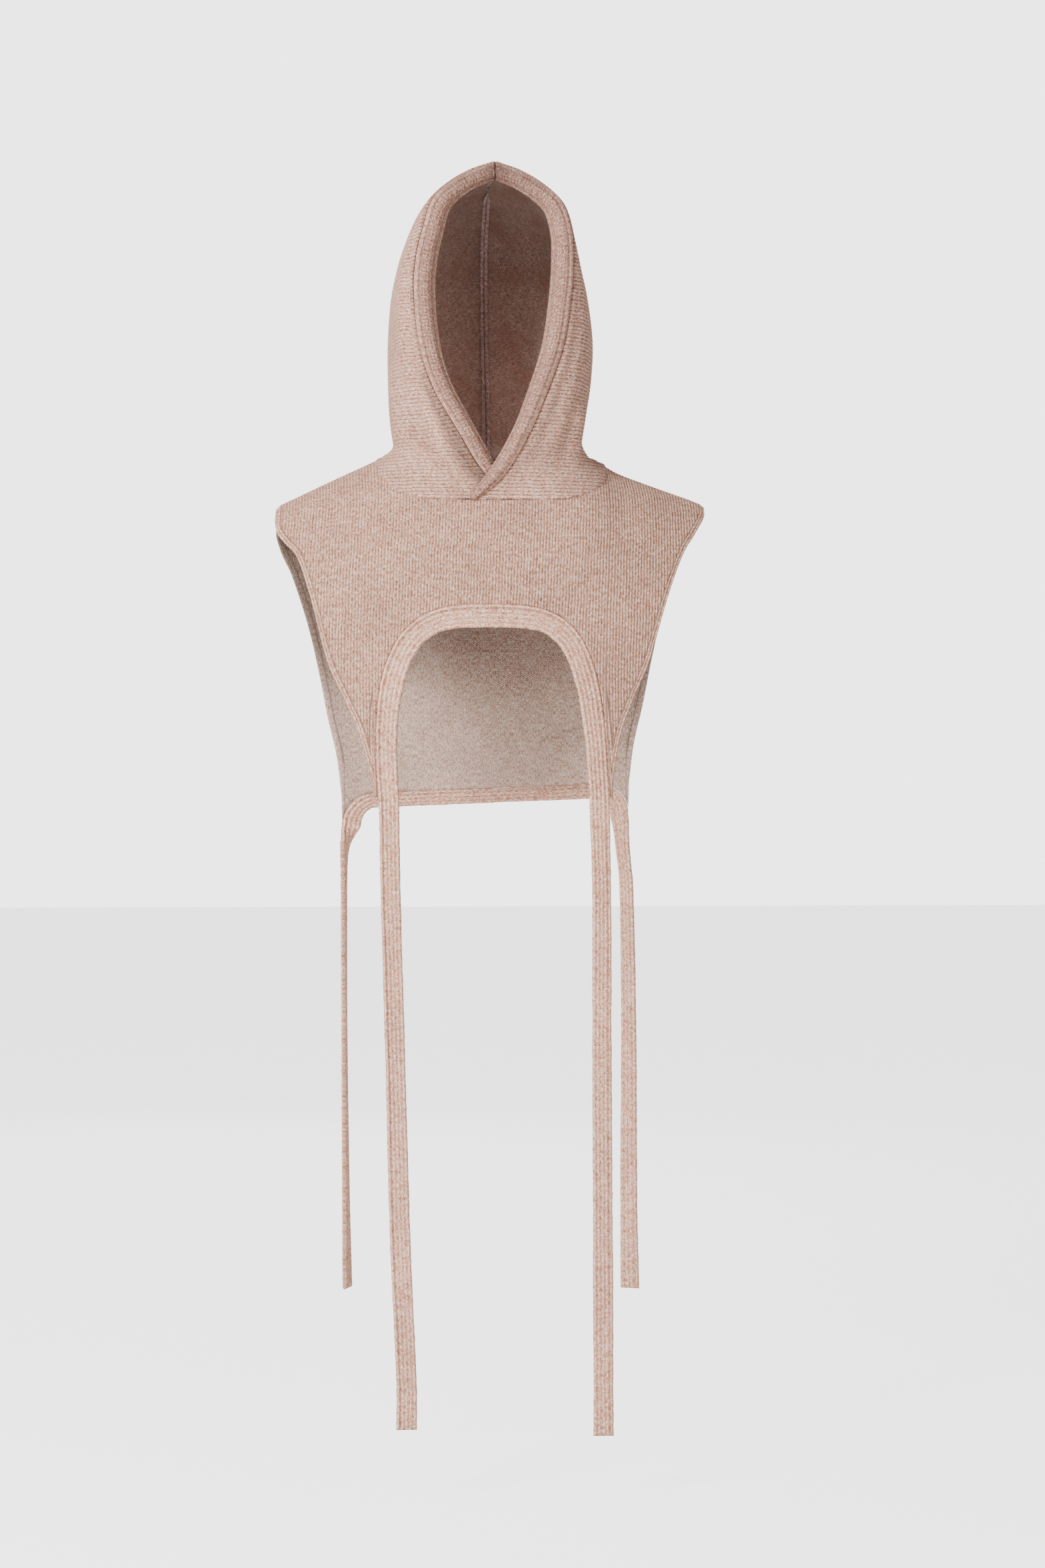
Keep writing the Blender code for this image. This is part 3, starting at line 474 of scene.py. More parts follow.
def hood_body(over, up, left):
    """Inner face of the hood above its flared foot."""
    rim, belly, back = hood_row(up, left)
    rounder = smooth(*SQUARENESS_CHANGES, up)
    squareness = LOW_SQUARENESS + (HIGH_SQUARENESS - LOW_SQUARENESS) * rounder
    turn = np.sin(np.pi / 2 * np.minimum(over / BELLY_OVER, 1))
    depth = round_depth(turn, squareness)
    front = place(rim[..., 0] + (belly[..., 0] - rim[..., 0]) * turn,
                  belly[..., 1] + (rim[..., 1] - belly[..., 1]) * depth,
                  rim[..., 2] + (belly[..., 2] - rim[..., 2]) * turn)
    angle = np.pi / 2 * np.clip((over - BELLY_OVER) / (1 - BELLY_OVER), 0, 1)
    side = np.maximum(np.cos(angle), 0) ** BACK_ROUNDNESS
    turn = np.sin(angle) ** BACK_ROUNDNESS
    rear = place(belly[..., 0] * side, belly[..., 1] + (back[..., 1] - belly[..., 1]) * turn,
                 back[..., 2] + (belly[..., 2] - back[..., 2]) * side)
    return np.where((over < BELLY_OVER)[..., None], front, rear)


# %% Foot and folds of the hood
FLANK_LAP = 0.0130
FLANK_REST = 0.35
FLANK = (0.10, 0.36, 0.50, 0.78)
SET_BACK_ENDS = 2.2
FOLD_ENDS = (0.0, 0.3, 0.6, 1.0)
FLARE_POWER = 2.2
CREST_FROM = 0.8


def bib_height(x, y):
    """Height of the bib's inner face under a place near the neck ring."""
    heights = []
    for drape in (FRONT_DRAPE, BACK_DRAPE):
        crown, start = panel_arc(x, drape)
        heights.append(crown - drape_fall(x, y, drape))
    return np.where(y < 0, heights[0], heights[1])


def hood_foot(over, left):
    """The hood's lowest row, on the neck ring, as if it were the right half.

    At the flank it reaches past the ring and comes to rest on the shoulder.
    """
    turn = np.sin(np.pi / 2 * np.minimum(over / BELLY_OVER, 1))
    x = -THROAT_OVERLAP + (NECK_HALF_WIDTH + THROAT_OVERLAP) * turn
    front = neck_ring(x, FRONT_DRAPE)
    if left:
        past = smooth(THROAT_OVERLAP, SET_BACK_ENDS * THROAT_OVERLAP, x)
        front[..., 1] += THROAT_SET_BACK * (1 - past)
    angle = np.pi / 2 * np.clip((over - BELLY_OVER) / (1 - BELLY_OVER), 0, 1)
    rear = neck_ring(NECK_HALF_WIDTH * np.maximum(np.cos(angle), 0), BACK_DRAPE)
    foot = np.where((over < BELLY_OVER)[..., None], front, rear)
    flank = plateau(over, *FLANK)
    lapped = foot + unit(foot * np.array([1.0, 1.0, 0.0])) * (FLANK_LAP * flank)[..., None]
    side = -1 if left else 1
    dropped = (bib_height(side * lapped[..., 0], lapped[..., 1])
               - bib_height(side * foot[..., 0], foot[..., 1]))
    lapped[..., 2] += dropped + KNIT_WALL * FLANK_REST * flank
    return lapped


def fold_height(over, up, left):
    """How far the folds lift the hood at a place."""
    height = np.zeros_like(over * up)
    for fold in HOOD_FOLDS:
        if (fold.half == "left") == left:
            share = (up - fold.foot_up) / (fold.head_up - fold.foot_up)
            centre = fold.foot_over + (fold.head_over - fold.foot_over) * share
            near = np.maximum(0, 1 - ((over - centre) / fold.half_width) ** 2)
            height += FOLD_DEPTH * fold.height * near ** 2 * plateau(share, *FOLD_ENDS)
    return height


def hood_point(over, up, left):
    """Inner face of the hood, from the rim (over 0) to the centre seam (over 1)."""
    over, up = np.broadcast_arrays(np.asarray(over, float), np.asarray(up, float))
    flare = np.maximum(1 - up / FLARE_SHARE, 0) ** FLARE_POWER
    spread = hood_foot(over, left) - hood_body(over, np.zeros_like(up), left)
    points = hood_body(over, up, left) + spread * flare[..., None]
    outward = unit(points * np.array([1.0, 1.0, 0.0]))
    points = points + outward * fold_height(over, up, left)[..., None]
    points[..., 0] += HALVES_MEET
    points[..., 2] += RING_GAP * flare - CREST_SETTLE * smooth(CREST_FROM, 1.0, up)
    if left:
        points[..., 0] *= -1
    return points


print("crest of the hood:", hood_point(1.0, 1.0, False).round(4))

# %% [markdown]
# ## A sheet of knit
#
# Knit is thick, soft at its edges and ribbed on one side. A grid is added as a primitive, its
# corners are set on the surface, and Solidify gives it a second layer and a closed edge. Then
# each layer gets its own relief: the face side stands up in ribs, the back side stays flatter.
# Both layers come together near a free edge, so that the edge is round. Each corner also
# keeps its place in the knit, in millimetres across and along, so that the yarn pattern can
# follow the cloth wherever it turns.
#
# Knit could also be a flat sheet with a bump map, but its ribs show in the outline and in the
# light that grazes it, so they are real relief here.

# %% Helpers for a sheet
def in_edit_mode(piece, action):
    """Runs an operator on the whole of one piece in edit mode."""
    bpy.ops.object.select_all(action="DESELECT")
    bpy.context.view_layer.objects.active = piece
    piece.select_set(True)
    bpy.ops.object.mode_set(mode="EDIT")
    bpy.ops.mesh.select_all(action="SELECT")
    action()
    bpy.ops.object.mode_set(mode="OBJECT")


def travelled(points, axis):
    """Millimetres travelled over the grid along one axis."""
    steps = np.linalg.norm(np.diff(points, axis=axis), axis=-1) * 1000
    lead = [(0, 0), (0, 0)]
    lead[axis] = (1, 0)
    return np.pad(np.cumsum(steps, axis=axis), lead)


# %% Make a sheet
THINNEST_EDGE = 0.08


def knit_sheet(name, points, lift, wall, knit_place, materials, edge_mm, face_relief,
               back_relief=0.0, tone_and_painted_light=1.0, back_painted_shade=1.0):
    """Makes a sheet from a grid of points, rows first.

    lift says where the wall lies: 1 outside the points, 0 half on each side. face_relief and
    back_relief stand out from the two layers, and edge_mm is each corner's distance to a
    free edge. knit_place holds each corner's place in the knit, across and along.
    tone_and_painted_light is how light the yarn is there together with painted light: below 1
    for painted shade in seam grooves and shadowed places, above 1 for painted highlights on
    ridges. back_painted_shade is painted shade that makes the back layer darker still.
    """
    rows, columns = points.shape[0] - 1, points.shape[1] - 1
    fields = [np.broadcast_to(field, points.shape[:2])
              for field in (edge_mm, face_relief, back_relief, tone_and_painted_light, back_painted_shade)]
    normals = unit(np.cross(np.gradient(points, axis=1), np.gradient(points, axis=0)))
    away = points - np.array([0.0, 0.01, 0.0])
    away[..., 2] = 0.0
    if (normals * unit(away)).sum() < 0:
        points, normals, knit_place = points[:, ::-1], -normals[:, ::-1], knit_place[:, ::-1]
        fields = [field[:, ::-1] for field in fields]
    edge_mm, face_relief, back_relief, tone_and_painted_light, back_painted_shade = fields

    bpy.ops.object.select_all(action="DESELECT")
    bpy.ops.mesh.primitive_grid_add(x_subdivisions=columns, y_subdivisions=rows, size=1)
    piece = bpy.context.object
    piece.name = piece.data.name = name
    count = (rows + 1) * (columns + 1)
    flat = np.empty(count * 3)
    piece.data.vertices.foreach_get("co", flat)
    flat = flat.reshape(-1, 3)
    order = (np.round((flat[:, 1] + 0.5) * rows) * (columns + 1)
             + np.round((flat[:, 0] + 0.5) * columns)).astype(int)
    solid = piece.modifiers.new("wall", "SOLIDIFY")
    solid.thickness = wall
    if len(materials) > 1:
        solid.material_offset = 1
    for material in materials:
        piece.data.materials.append(material)
    bpy.ops.object.modifier_apply(modifier=solid.name)

    half = wall / 2
    near_edge = np.clip(edge_mm / (1000 * half), THINNEST_EDGE, 1)
    round_half = half * np.sqrt(1 - (1 - near_edge) ** 2)
    middle = points + normals * (half * lift)
    front = middle + normals * (round_half + face_relief * near_edge)[..., None]
    back = middle - normals * (round_half + back_relief * near_edge)[..., None]
    layers = np.concatenate([front.reshape(-1, 3)[order], back.reshape(-1, 3)[order]])
    piece.data.vertices.foreach_set("co", layers.ravel())
    stitch = piece.data.attributes.new("stitch_mm", "FLOAT_VECTOR", "POINT")
    stitch.data.foreach_set("vector", np.tile(knit_place.reshape(-1, 3)[order], (2, 1)).ravel())
    # Tone of the yarn with its painted shade and highlights, for the face layer and the back layer
    tone_and_painted_light_attribute = piece.data.attributes.new("tone_and_painted_light", "FLOAT", "POINT")
    both_tones = [tone_and_painted_light.reshape(-1)[order], (tone_and_painted_light * back_painted_shade).reshape(-1)[order]]
    tone_and_painted_light_attribute.data.foreach_set("value", np.concatenate(both_tones))
    in_edit_mode(piece, lambda: bpy.ops.mesh.normals_make_consistent(inside=False))
    bpy.ops.object.shade_smooth()
    area = sum(face.area for face in piece.data.polygons) / 2
    print(name, 2 * len(piece.data.polygons), "triangles,", round(area, 4), "m2")
    return piece


def dress(piece, node):
    """Puts a sheet in its node's place."""
    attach(piece, "root")
    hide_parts(node)


def ribs(place_mm, pitch_mm, height):
    """Round ribs with narrow valleys between them."""
    return height * (np.abs(np.sin(np.pi * place_mm / pitch_mm)) ** 0.7 - 0.5)


# %% Irregular curves, and even steps along a path
# A knit that repeats exactly looks printed, so most widths and heights below wander a little
WANDER_VALUES = 4096
WANDER_START = 64


def wander(travel_mm, step_mm, seed):
    """A smooth irregular curve between -1 and 1, the same in each run."""
    values = np.random.default_rng(seed).uniform(-1, 1, WANDER_VALUES)
    steps = np.asarray(travel_mm) / step_mm + WANDER_START
    i = np.floor(steps).astype(int) % (WANDER_VALUES - 1)
    t = smooth(0, 1, steps - np.floor(steps))
    return values[i] * (1 - t) + values[i + 1] * t


def evenly(points, steps, axis=1):
    """The same surface with its corners evenly spaced along one axis."""
    if axis == 0:
        return evenly(points.swapaxes(0, 1), steps).swapaxes(0, 1)
    run = travelled(points, 1)
    even = []
    for line, line_run in zip(points, run):
        wanted = np.linspace(0, line_run[-1], steps + 1)
        even.append(np.stack([np.interp(wanted, line_run, line[:, k]) for k in range(3)], -1))
    return np.array(even)


# %% [markdown]
# ## The wool
#
# Lambswool is spun from short, crimped fibres, so it is dull and slightly hairy, and light
# grazes it softly. This yarn is marled: strands of cream, beige and a dusty pink brown are
# twisted together, and each stitch shows another strand. That makes fine broken streaks that
# run along the wales. So the colour comes from stretched noise in knit places, never from the
# camera or the lights, and the fuzz comes from a little sheen and a very fine bump. Painted
# shade darkens the valleys between wales, and each corner's stored tone adds painted shade
# in grooves and painted highlights on ridges.

# %% Colours and one small function for nodes
def linear(hex_colour):
    """A colour written as sRGB hex, as the linear values that a shader needs."""
    parts = [int(hex_colour[i:i + 2], 16) / 255 for i in (1, 3, 5)]
    return [p / 12.92 if p <= 0.04045 else ((p + 0.055) / 1.055) ** 2.4 for p in parts] + [1.0]


def add_node(tree, kind, *values, **settings):
    """Adds a node, sets it up, feeds its inputs with sockets or values, gives its outputs.

    values fill the inputs in their order, and None leaves one as it is. A setting written with
    a capital is an input by its name, and any other is a property of the node.
    """
    node = tree.nodes.new(kind)
    inputs = dict(enumerate(values))
    for key, value in settings.items():
        if key[0].isupper():
            inputs[key] = value
        else:
            setattr(node, key, value)
    for key, value in inputs.items():
        if isinstance(value, bpy.types.NodeSocket):
            tree.links.new(value, node.inputs[key])
        elif value is not None:
            node.inputs[key].default_value = value
    return node.outputs


# %% Grain of the yarn
# Sizes across and along a wale in millimetres. A fibre is only 0.02 mm thick, so flecks and
# fuzz are drawn far coarser than they are, or they would not show from here.
Grain = namedtuple("Grain", "across along detail")
FLECK = Grain(1.1, 3.0, 1.0)
CLOUD = Grain(9.0, 14.0, 1.0)
BLUSH = Grain(34.0, 30.0, 1.0)
PATCH = Grain(48.0, 60.0, 1.0)
FUZZ = Grain(0.6, 0.9, 2.0)
PLY_SHARE = 0.45
DASH_MM = 5.0
STRAND_JUMP = 7.31
DASH_JUMP = 3.7
YARN_WEIGHTS = {"strand": 0.20, "ply": 0.26, "fleck": 0.46, "cloud": 0.08}
YARN_SPREAD = 0.115


def grain_noises(tree, stitch, streak_mm, blushes):
    """Noise for each grain of the yarn, laid out in the knit's own millimetres."""
    stitch_mm = add_node(tree, "ShaderNodeAttribute", attribute_name="stitch_mm")["Vector"]
    u, v = add_node(tree, "ShaderNodeSeparateXYZ", stitch_mm)[:2]
    across = add_node(tree, "ShaderNodeMath", u, stitch.wale, operation="DIVIDE")[0]
    ply = Grain(stitch.wale * PLY_SHARE, streak_mm * PLY_SHARE, 1.0)
    grains = {"ply": ply, "fleck": FLECK, "cloud": CLOUD, "patch": PATCH, "fuzz": FUZZ}
    if blushes:
        grains["blush"] = BLUSH
    noises = {}
    for name, grain in grains.items():
        spot = add_node(tree, "ShaderNodeVectorMath", stitch_mm, (grain.across, grain.along, 1.0),
                        operation="DIVIDE")[0]
        noises[name] = add_node(tree, "ShaderNodeTexNoise", Vector=spot, Scale=1.0,
                                Detail=grain.detail)[0]
    # A strand colours one wale, and a dash of painted shade darkens the valley between two
    for name, rounding, jump, run_mm in (("strand", "ROUND", STRAND_JUMP, streak_mm),
                                         ("dash", "FLOOR", DASH_JUMP, DASH_MM)):
        number = add_node(tree, "ShaderNodeMath", across, operation=rounding)[0]
        column = add_node(tree, "ShaderNodeMath", number, jump, operation="MULTIPLY")[0]
        down = add_node(tree, "ShaderNodeMath", v, run_mm, operation="DIVIDE")[0]
        spot = add_node(tree, "ShaderNodeCombineXYZ", column, down)[0]
        noises[name] = add_node(tree, "ShaderNodeTexNoise", Vector=spot, Scale=1.0, Detail=1.0)[0]
    return across, v, noises


print("flecks of the yarn:", FLECK.across, "by", FLECK.along, "mm")

# %% Stitches
# wale and course are the width and height of a stitch in millimetres, and valley is how much
# painted shade darkens the gap between two wales.
Stitch = namedtuple("Stitch", "kind wale course bump valley")
FULL_TURN = 2 * np.pi
LOOP_SWING = 0.3
SLANTS = {"legs": 1.8, "cord": 0.9}
LOOP_HEIGHT = 0.5
LEG_HEIGHT = 0.20
WALE_HEIGHT = 1.2


def stitch_heights(tree, stitch, across, v):
    """Height of the stitches, and the wave whose low part is the valley between them.

    The kind is "legs" for the V of the knit's face, "loops" for the wavy rows of its reverse
    and "cord" for the round ribs of an edging.
    """
    if stitch.kind == "loops":
        height, rise = across, LOOP_HEIGHT
        steps = [("MULTIPLY", FULL_TURN), ("SINE", None), ("MULTIPLY", stitch.course * LOOP_SWING)]
    else:
        wave = add_node(tree, "ShaderNodeMath", across, 0.5, operation="PINGPONG")[0]
        height, rise = wave, LEG_HEIGHT
        steps = [("MULTIPLY", stitch.course * SLANTS[stitch.kind])]
    steps += [("ADD", v), ("MULTIPLY", FULL_TURN / stitch.course), ("SINE", None), ("ADD", 1.0),
              ("MULTIPLY", rise)]
    for operation, value in steps:
        height = add_node(tree, "ShaderNodeMath", height, value, operation=operation)[0]
    if stitch.kind == "loops":
        return height, height
    height = add_node(tree, "ShaderNodeMath", wave, WALE_HEIGHT, height,
                      operation="MULTIPLY_ADD")[0]
    return height, wave


print("kinds of stitch: loops,", ", ".join(SLANTS))

# %% The marled wool
# Carded lambswool, knitted: very rough and hardly shiny, with a weak warm sheen from its fuzz,
# so folds and edges look soft
WOOL_SURFACE = {"Roughness": 0.92, "Specular IOR Level": 0.2, "Sheen Weight": 0.12,
                "Sheen Roughness": 0.5, "Sheen Tint": linear("#f0d8ca")}
# The ends of the range that a noise is read from, and of the range that it is turned into
DASH_RANGE = (0.36, 0.60, 0.45, 1.0)
PATCH_RANGE = (0.3, 0.7, 0.93, 1.07)
BLUSH_RANGE = (0.46, 0.72, 0.0, 0.5)
VALLEY_BREADTH = 0.28
OPEN_SHADE = 1.04
FUZZ_HEIGHT = 0.5
BUMP_STRENGTH = 0.8
BUMP_DISTANCE = 0.0009


def marled_wool(name, dark, middle, light, stitch, streak_mm, contrast=1.0, blush=None):
    """Knitted marled wool: streaks along the wales, stitches and fuzz.

    blush is the colour of soft patches where redder strands gather.
    """
    material = bpy.data.materials.new(name)
    material.use_nodes = True
    tree = material.node_tree
    shader = tree.nodes["Principled BSDF"]
    for socket, value in WOOL_SURFACE.items():
        shader.inputs[socket].default_value = value
    across, v, noises = grain_noises(tree, stitch, streak_mm, bool(blush))
    height, valley = stitch_heights(tree, stitch, across, v)

    # Colour: three shades of the yarn, picked by the mixed grains
    yarn = 0.0
    for grain, weight in YARN_WEIGHTS.items():
        yarn = add_node(tree, "ShaderNodeMath", noises[grain], weight, yarn,
                        operation="MULTIPLY_ADD")[0]
    colour = add_node(tree, "ShaderNodeValToRGB", yarn)[0]
    ramp = colour.node.color_ramp.elements
    spread = YARN_SPREAD / contrast
    ramp[0].position, ramp[0].color = 0.5 - spread, linear(dark)
    ramp[1].position, ramp[1].color = 0.5 + spread, linear(light)
    ramp.new(0.5).color = linear(middle)
    if blush:
        gathered = add_node(tree, "ShaderNodeMapRange", noises["blush"], *BLUSH_RANGE)[0]
        colour = add_node(tree, "ShaderNodeMix", gathered, *[None] * 5, colour, linear(blush),
                          data_type="RGBA")[2]

    # Shade: painted shade in broken dashes in the valleys, broad patches, and the corner's tone and
    # painted light
    broken = add_node(tree, "ShaderNodeMapRange", noises["dash"], *DASH_RANGE)[0]
    depth = add_node(tree, "ShaderNodeMapRange", valley, 0.0, VALLEY_BREADTH, stitch.valley, 0.0)[0]
    dash = add_node(tree, "ShaderNodeMath", depth, broken, operation="MULTIPLY")[0]
    shade = add_node(tree, "ShaderNodeMath", OPEN_SHADE, dash, operation="SUBTRACT")[0]
    patch = add_node(tree, "ShaderNodeMapRange", noises["patch"], *PATCH_RANGE)[0]
    tone_and_painted_light = add_node(tree, "ShaderNodeAttribute", attribute_name="tone_and_painted_light")["Fac"]
    for part in (patch, tone_and_painted_light):
        shade = add_node(tree, "ShaderNodeMath", shade, part, operation="MULTIPLY")[0]
    shaded = add_node(tree, "ShaderNodeVectorMath", colour, Scale=shade, operation="SCALE")[0]
    tree.links.new(shaded, shader.inputs["Base Color"])

    # Relief: stitches, and the fuzz of fibres that stand off the yarn
    relief = add_node(tree, "ShaderNodeMath", height, stitch.bump, operation="MULTIPLY")[0]
    relief = add_node(tree, "ShaderNodeMath", noises["fuzz"], FUZZ_HEIGHT, relief,
                      operation="MULTIPLY_ADD")[0]
    bump = add_node(tree, "ShaderNodeBump", Height=relief, Strength=BUMP_STRENGTH,
                    Distance=BUMP_DISTANCE)[0]
    tree.links.new(bump, shader.inputs["Normal"])
    return material


# %% Wool finishes
# The yarn is one, and only its stitches, its contrast and how much light it catches differ.
# Hood: level cords with thin dashes of painted shade between them, and light flecks along the rows
hood_face = marled_wool("lambswool_hood_rows", "#af806b", "#d8a48d", "#f0ccba",
                        Stitch("cord", 3.5, 2.6, 0.8, 0.72), 5.0, 1.2)
# Inside of the hood: flat and greyer, with faint reddish patches
hood_reverse = marled_wool("lambswool_hood_reverse", "#a88c81", "#c9ab9f", "#e2cabf",
                           Stitch("loops", 3.2, 2.3, 0.5, 0.2), 5.0, 0.8, "#b98674")
# Bib: fine upright ribs with a salt-and-pepper speckle
bib_face = marled_wool("lambswool_jersey_face", "#ab7b65", "#d7a288", "#f0ccba",
                       Stitch("legs", 2.8, 2.1, 0.8, 0.75), 5.0, 1.2)
# Inside of the bib: level wavy rows, a little paler
bib_reverse = marled_wool("lambswool_jersey_reverse", "#b58f7b", "#deb9a6", "#f6e0d2",
                          Stitch("loops", 3.2, 2.3, 0.8, 0.3), 4.0)
# Edging of the face: tight and dull, a shade darker than the hood
edging = marled_wool("lambswool_rolled_edging", "#96695a", "#bf8f7b", "#e0bfb0",
                     Stitch("cord", 3.1, 2.6, 0.8, 0.3), 3.0, 0.9)
# Straps: the palest and most marled, with ribs that run along them
strap_rib = marled_wool("lambswool_strap_rib", "#bd8870", "#efb397", "#fde0cd",
                        Stitch("cord", 4.1, 2.4, 0.8, 0.45), 5.0, 1.2)
# Seam: the same yarn pulled tight, thin and greyish
seam_wool = marled_wool("lambswool_linked_seam", "#9c8481", "#b89f9c", "#d6c3c1",
                        Stitch("cord", 2.0, 2.0, 0.6, 0.2), 5.0)
print("wool finishes:", [m.name for m in bpy.data.materials if m.name.startswith("lambswool")])

# %% [markdown]
# ## Hood
#
# The hood is knitted sideways, so its rows run level round the head as small rounded ribs.
# The two halves are linked along the back and over the crest, and curl in slightly there. One
# mesh could make the whole hood, but at the throat the right half crosses over the left, so
# each is its own sheet. Rows could also follow the sheet's edge, but then they would lean at
# the neck, so they are counted by height instead.

# %% Rows of a hood half, and the painted shade in the valley beside the band
ROW_MM = 3.5
LEVEL_TOP = 170.0
LEVEL_BLEND = 25.0
# Painted shade in the valley beside the band, for the left half (True) and the right, and where
# that painted valley lies
VALLEY_PAINTED_SHADE = {True: 0.56, False: 0.14}
VALLEY_FOOT_MM = 33
VALLEY_NARROWING = 270
VALLEY_HEIGHTS = (-0.02, 0.08)
VALLEY_ENDS = (-0.060, -0.040, 0.03, 0.10)
VALLEY_FLOOR = 0.35
VALLEY_RIDGE_HIGHLIGHT = 0.35


def level_rows(points):
    """Millimetres up the knit: the height, and past LEVEL_TOP the way on over the head."""
    z_mm = points[..., 2] * 1000
    step = np.diff(travelled(points, 0), axis=0)
    rise = np.diff(z_mm, axis=0)
    over_top = smooth(LEVEL_TOP - LEVEL_BLEND, LEVEL_TOP + LEVEL_BLEND, z_mm[1:])
    climb = np.concatenate([z_mm[:1], rise * (1 - over_top) + step * over_top])
    return np.cumsum(climb, axis=0)


def painted_valley_shade(over_mm, z):
    """Painted shade in the soft valley beside the band, low on the hood: how deep a place lies in
    it.

    It ends at a low ridge, which a painted highlight makes lighter.
    """
    breadth = VALLEY_FOOT_MM - VALLEY_NARROWING * np.clip(z, *VALLEY_HEIGHTS)
    deep = 1 - smooth(VALLEY_FLOOR * breadth, breadth, over_mm)
    return plateau(z, *VALLEY_ENDS) * (deep - VALLEY_RIDGE_HIGHLIGHT * hill(over_mm, breadth + 4, 3.0))


print("rows of knit that lie level:", round(LEVEL_TOP / ROW_MM))

# %% Two halves of the hood
HOOD_STEPS = (344, 84)
ROW_LEAN_MM = 3.0
ROW_RISE = 0.0009
NECK_RIDGE_RISE = 0.0026
NECK_RIDGE_MM = 2.4
SEEN_SEAM = (0.22, 0.36)
# Painted light on the hood: painted shade in the neck-seam groove, in a thin line beside the band
# and on the inside, and a painted highlight on the neck ridge
HOOD_PAINTED_LIGHT = {"groove_shade": -0.80, "band_shadow": -0.35, "ridge": 0.45, "inside": -0.34}
INSIDE_SHADE_HEIGHTS = (0.10, 0.24)


def hood_half(name, left):
    """One half of the hood, with a low rib to every row of its knit."""
    steps_up, steps_over = HOOD_STEPS
    up = np.linspace(0, 1, steps_up + 1)[:, None]
    points = evenly(hood_point(np.linspace(0, 1, 401)[None, :], up, left), steps_over)
    over_mm, up_mm = travelled(points, 1), travelled(points, 0)
    share = over_mm / over_mm[:, -1:]
    row_mm = level_rows(points) + ROW_LEAN_MM * (share - 0.4) + 0.4 * wander(over_mm, 13, 3 + left)
    edge_mm = np.minimum.reduce([over_mm, over_mm[:, -1:] - over_mm, 2.5 * up_mm,
                                 up_mm[-1:] - up_mm])
    # The neck seam: an uneven ridge of the hood over a groove where the yarn is pulled in. The
    # groove gets painted shade and the ridge a painted highlight
    seen_seam = 1 - smooth(*SEEN_SEAM, share)
    lumps = 0.65 + 0.55 * wander(over_mm, 3.4, 9 + left)
    ridge = hill(up_mm, NECK_RIDGE_MM + 0.6 * wander(over_mm, 7, 21), 1.5) * seen_seam
    painted_groove_shade = hill(up_mm, 0, 1.5) * (0.70 + 0.4 * wander(over_mm, 4, 12)) * seen_seam
    face = ribs(row_mm, ROW_MM, ROW_RISE) * smooth(0, 6, over_mm) + NECK_RIDGE_RISE * ridge * lumps
    # Painted shade in the seam groove and in a thin line beside the band, and a painted highlight
    # on the ridge
    tone_and_painted_light = (1 + HOOD_PAINTED_LIGHT["groove_shade"] * painted_groove_shade + HOOD_PAINTED_LIGHT["ridge"] * ridge * lumps
            + HOOD_PAINTED_LIGHT["band_shadow"] * hill(over_mm, 0, 2.2))
    # Painted shade in the valley beside the band, with a painted highlight on the low ridge where
    # it ends
    tone_and_painted_light = tone_and_painted_light * (1 - VALLEY_PAINTED_SHADE[left] * painted_valley_shade(over_mm, points[..., 2]))
    # Painted shade on the inside layer of the hood, darker higher up
    inside = 1 + HOOD_PAINTED_LIGHT["inside"] * smooth(*INSIDE_SHADE_HEIGHTS, points[..., 2])
    # Each half starts in its own part of the yarn pattern
    knit_place = place(row_mm + 900 * left, over_mm + 450 * left, 0.0)
    return knit_sheet(name, points, 1, KNIT_WALL, knit_place, [hood_face, hood_reverse],
                      edge_mm, face, 0.0001, tone_and_painted_light, inside)


for half_name, is_left in (("hood_left", True), ("hood_right", False)):
    half = hood_half(half_name + "_knit", is_left)
    dress(half, half_name)

# %% [markdown]
# ## Bib
#
# Each panel is plain jersey. Its wales, the upright columns of stitches, are 2.8 mm apart, so
# they are modelled as 143 low ribs. The inside shows the reverse of the knit, which has level
# wavy rows. Wales that ran dead straight would look printed, so they sway a little. The rows of
# corners crowd together at the neck and the lower edge, where the panel bends most.

# %% Distance to the cut edge of a panel
def edge_distance(points, line):
    """Millimetres from each point to a line, and how far along the line its nearest place is."""
    run = travelled(line[None], 1)[0]
    wanted = np.arange(0, run[-1], 0.8)
    even = np.stack([np.interp(wanted, run, line[:, k]) for k in range(3)], -1) * 1000
    ahead = unit(np.gradient(even, axis=0))
    tree = KDTree(len(even))
    for i, spot in enumerate(even):
        tree.insert(spot, i)
    tree.balance()
    flat = points.reshape(-1, 3) * 1000
    nearest = np.array([tree.find(spot)[1] for spot in flat])
    away = flat - even[nearest]
    onward = (away * ahead[nearest]).sum(-1)
    distance = np.sqrt(np.maximum((away ** 2).sum(-1) - onward ** 2, 0))
    along_line = wanted[nearest] + onward
    return distance.reshape(points.shape[:2]), along_line.reshape(points.shape[:2])


# %% Front and back panels
WALE_MM = 2.8
WALES = 143
WALE_COLUMNS = 4
PANEL_ROWS = 84
WALE_SWAY = 0.0006
WALE_RISE = 0.0007
CROWDING = 0.45
SOFT_RISE = 0.0004
BORDER_MM = 5.6
FAR_MM = 99.0
RING_FADES = 0.005
RING_RIDGE_RISE = 0.0012
# Painted light on the panels: painted shade in the groove beside the border and along the neck
# ring, a painted highlight on the border, and painted shade on the inside layer, high up and
# towards the flanks
PANEL_PAINTED_LIGHT = {"border_groove": -0.35, "border": 0.12, "ring_groove": -0.75, "chest": -0.42,
               "flank": -0.20}
CHEST_SHADE_HEIGHTS = (-0.24, -0.16)
FLANK_SHADE_PLACES = (0.10, 0.16)


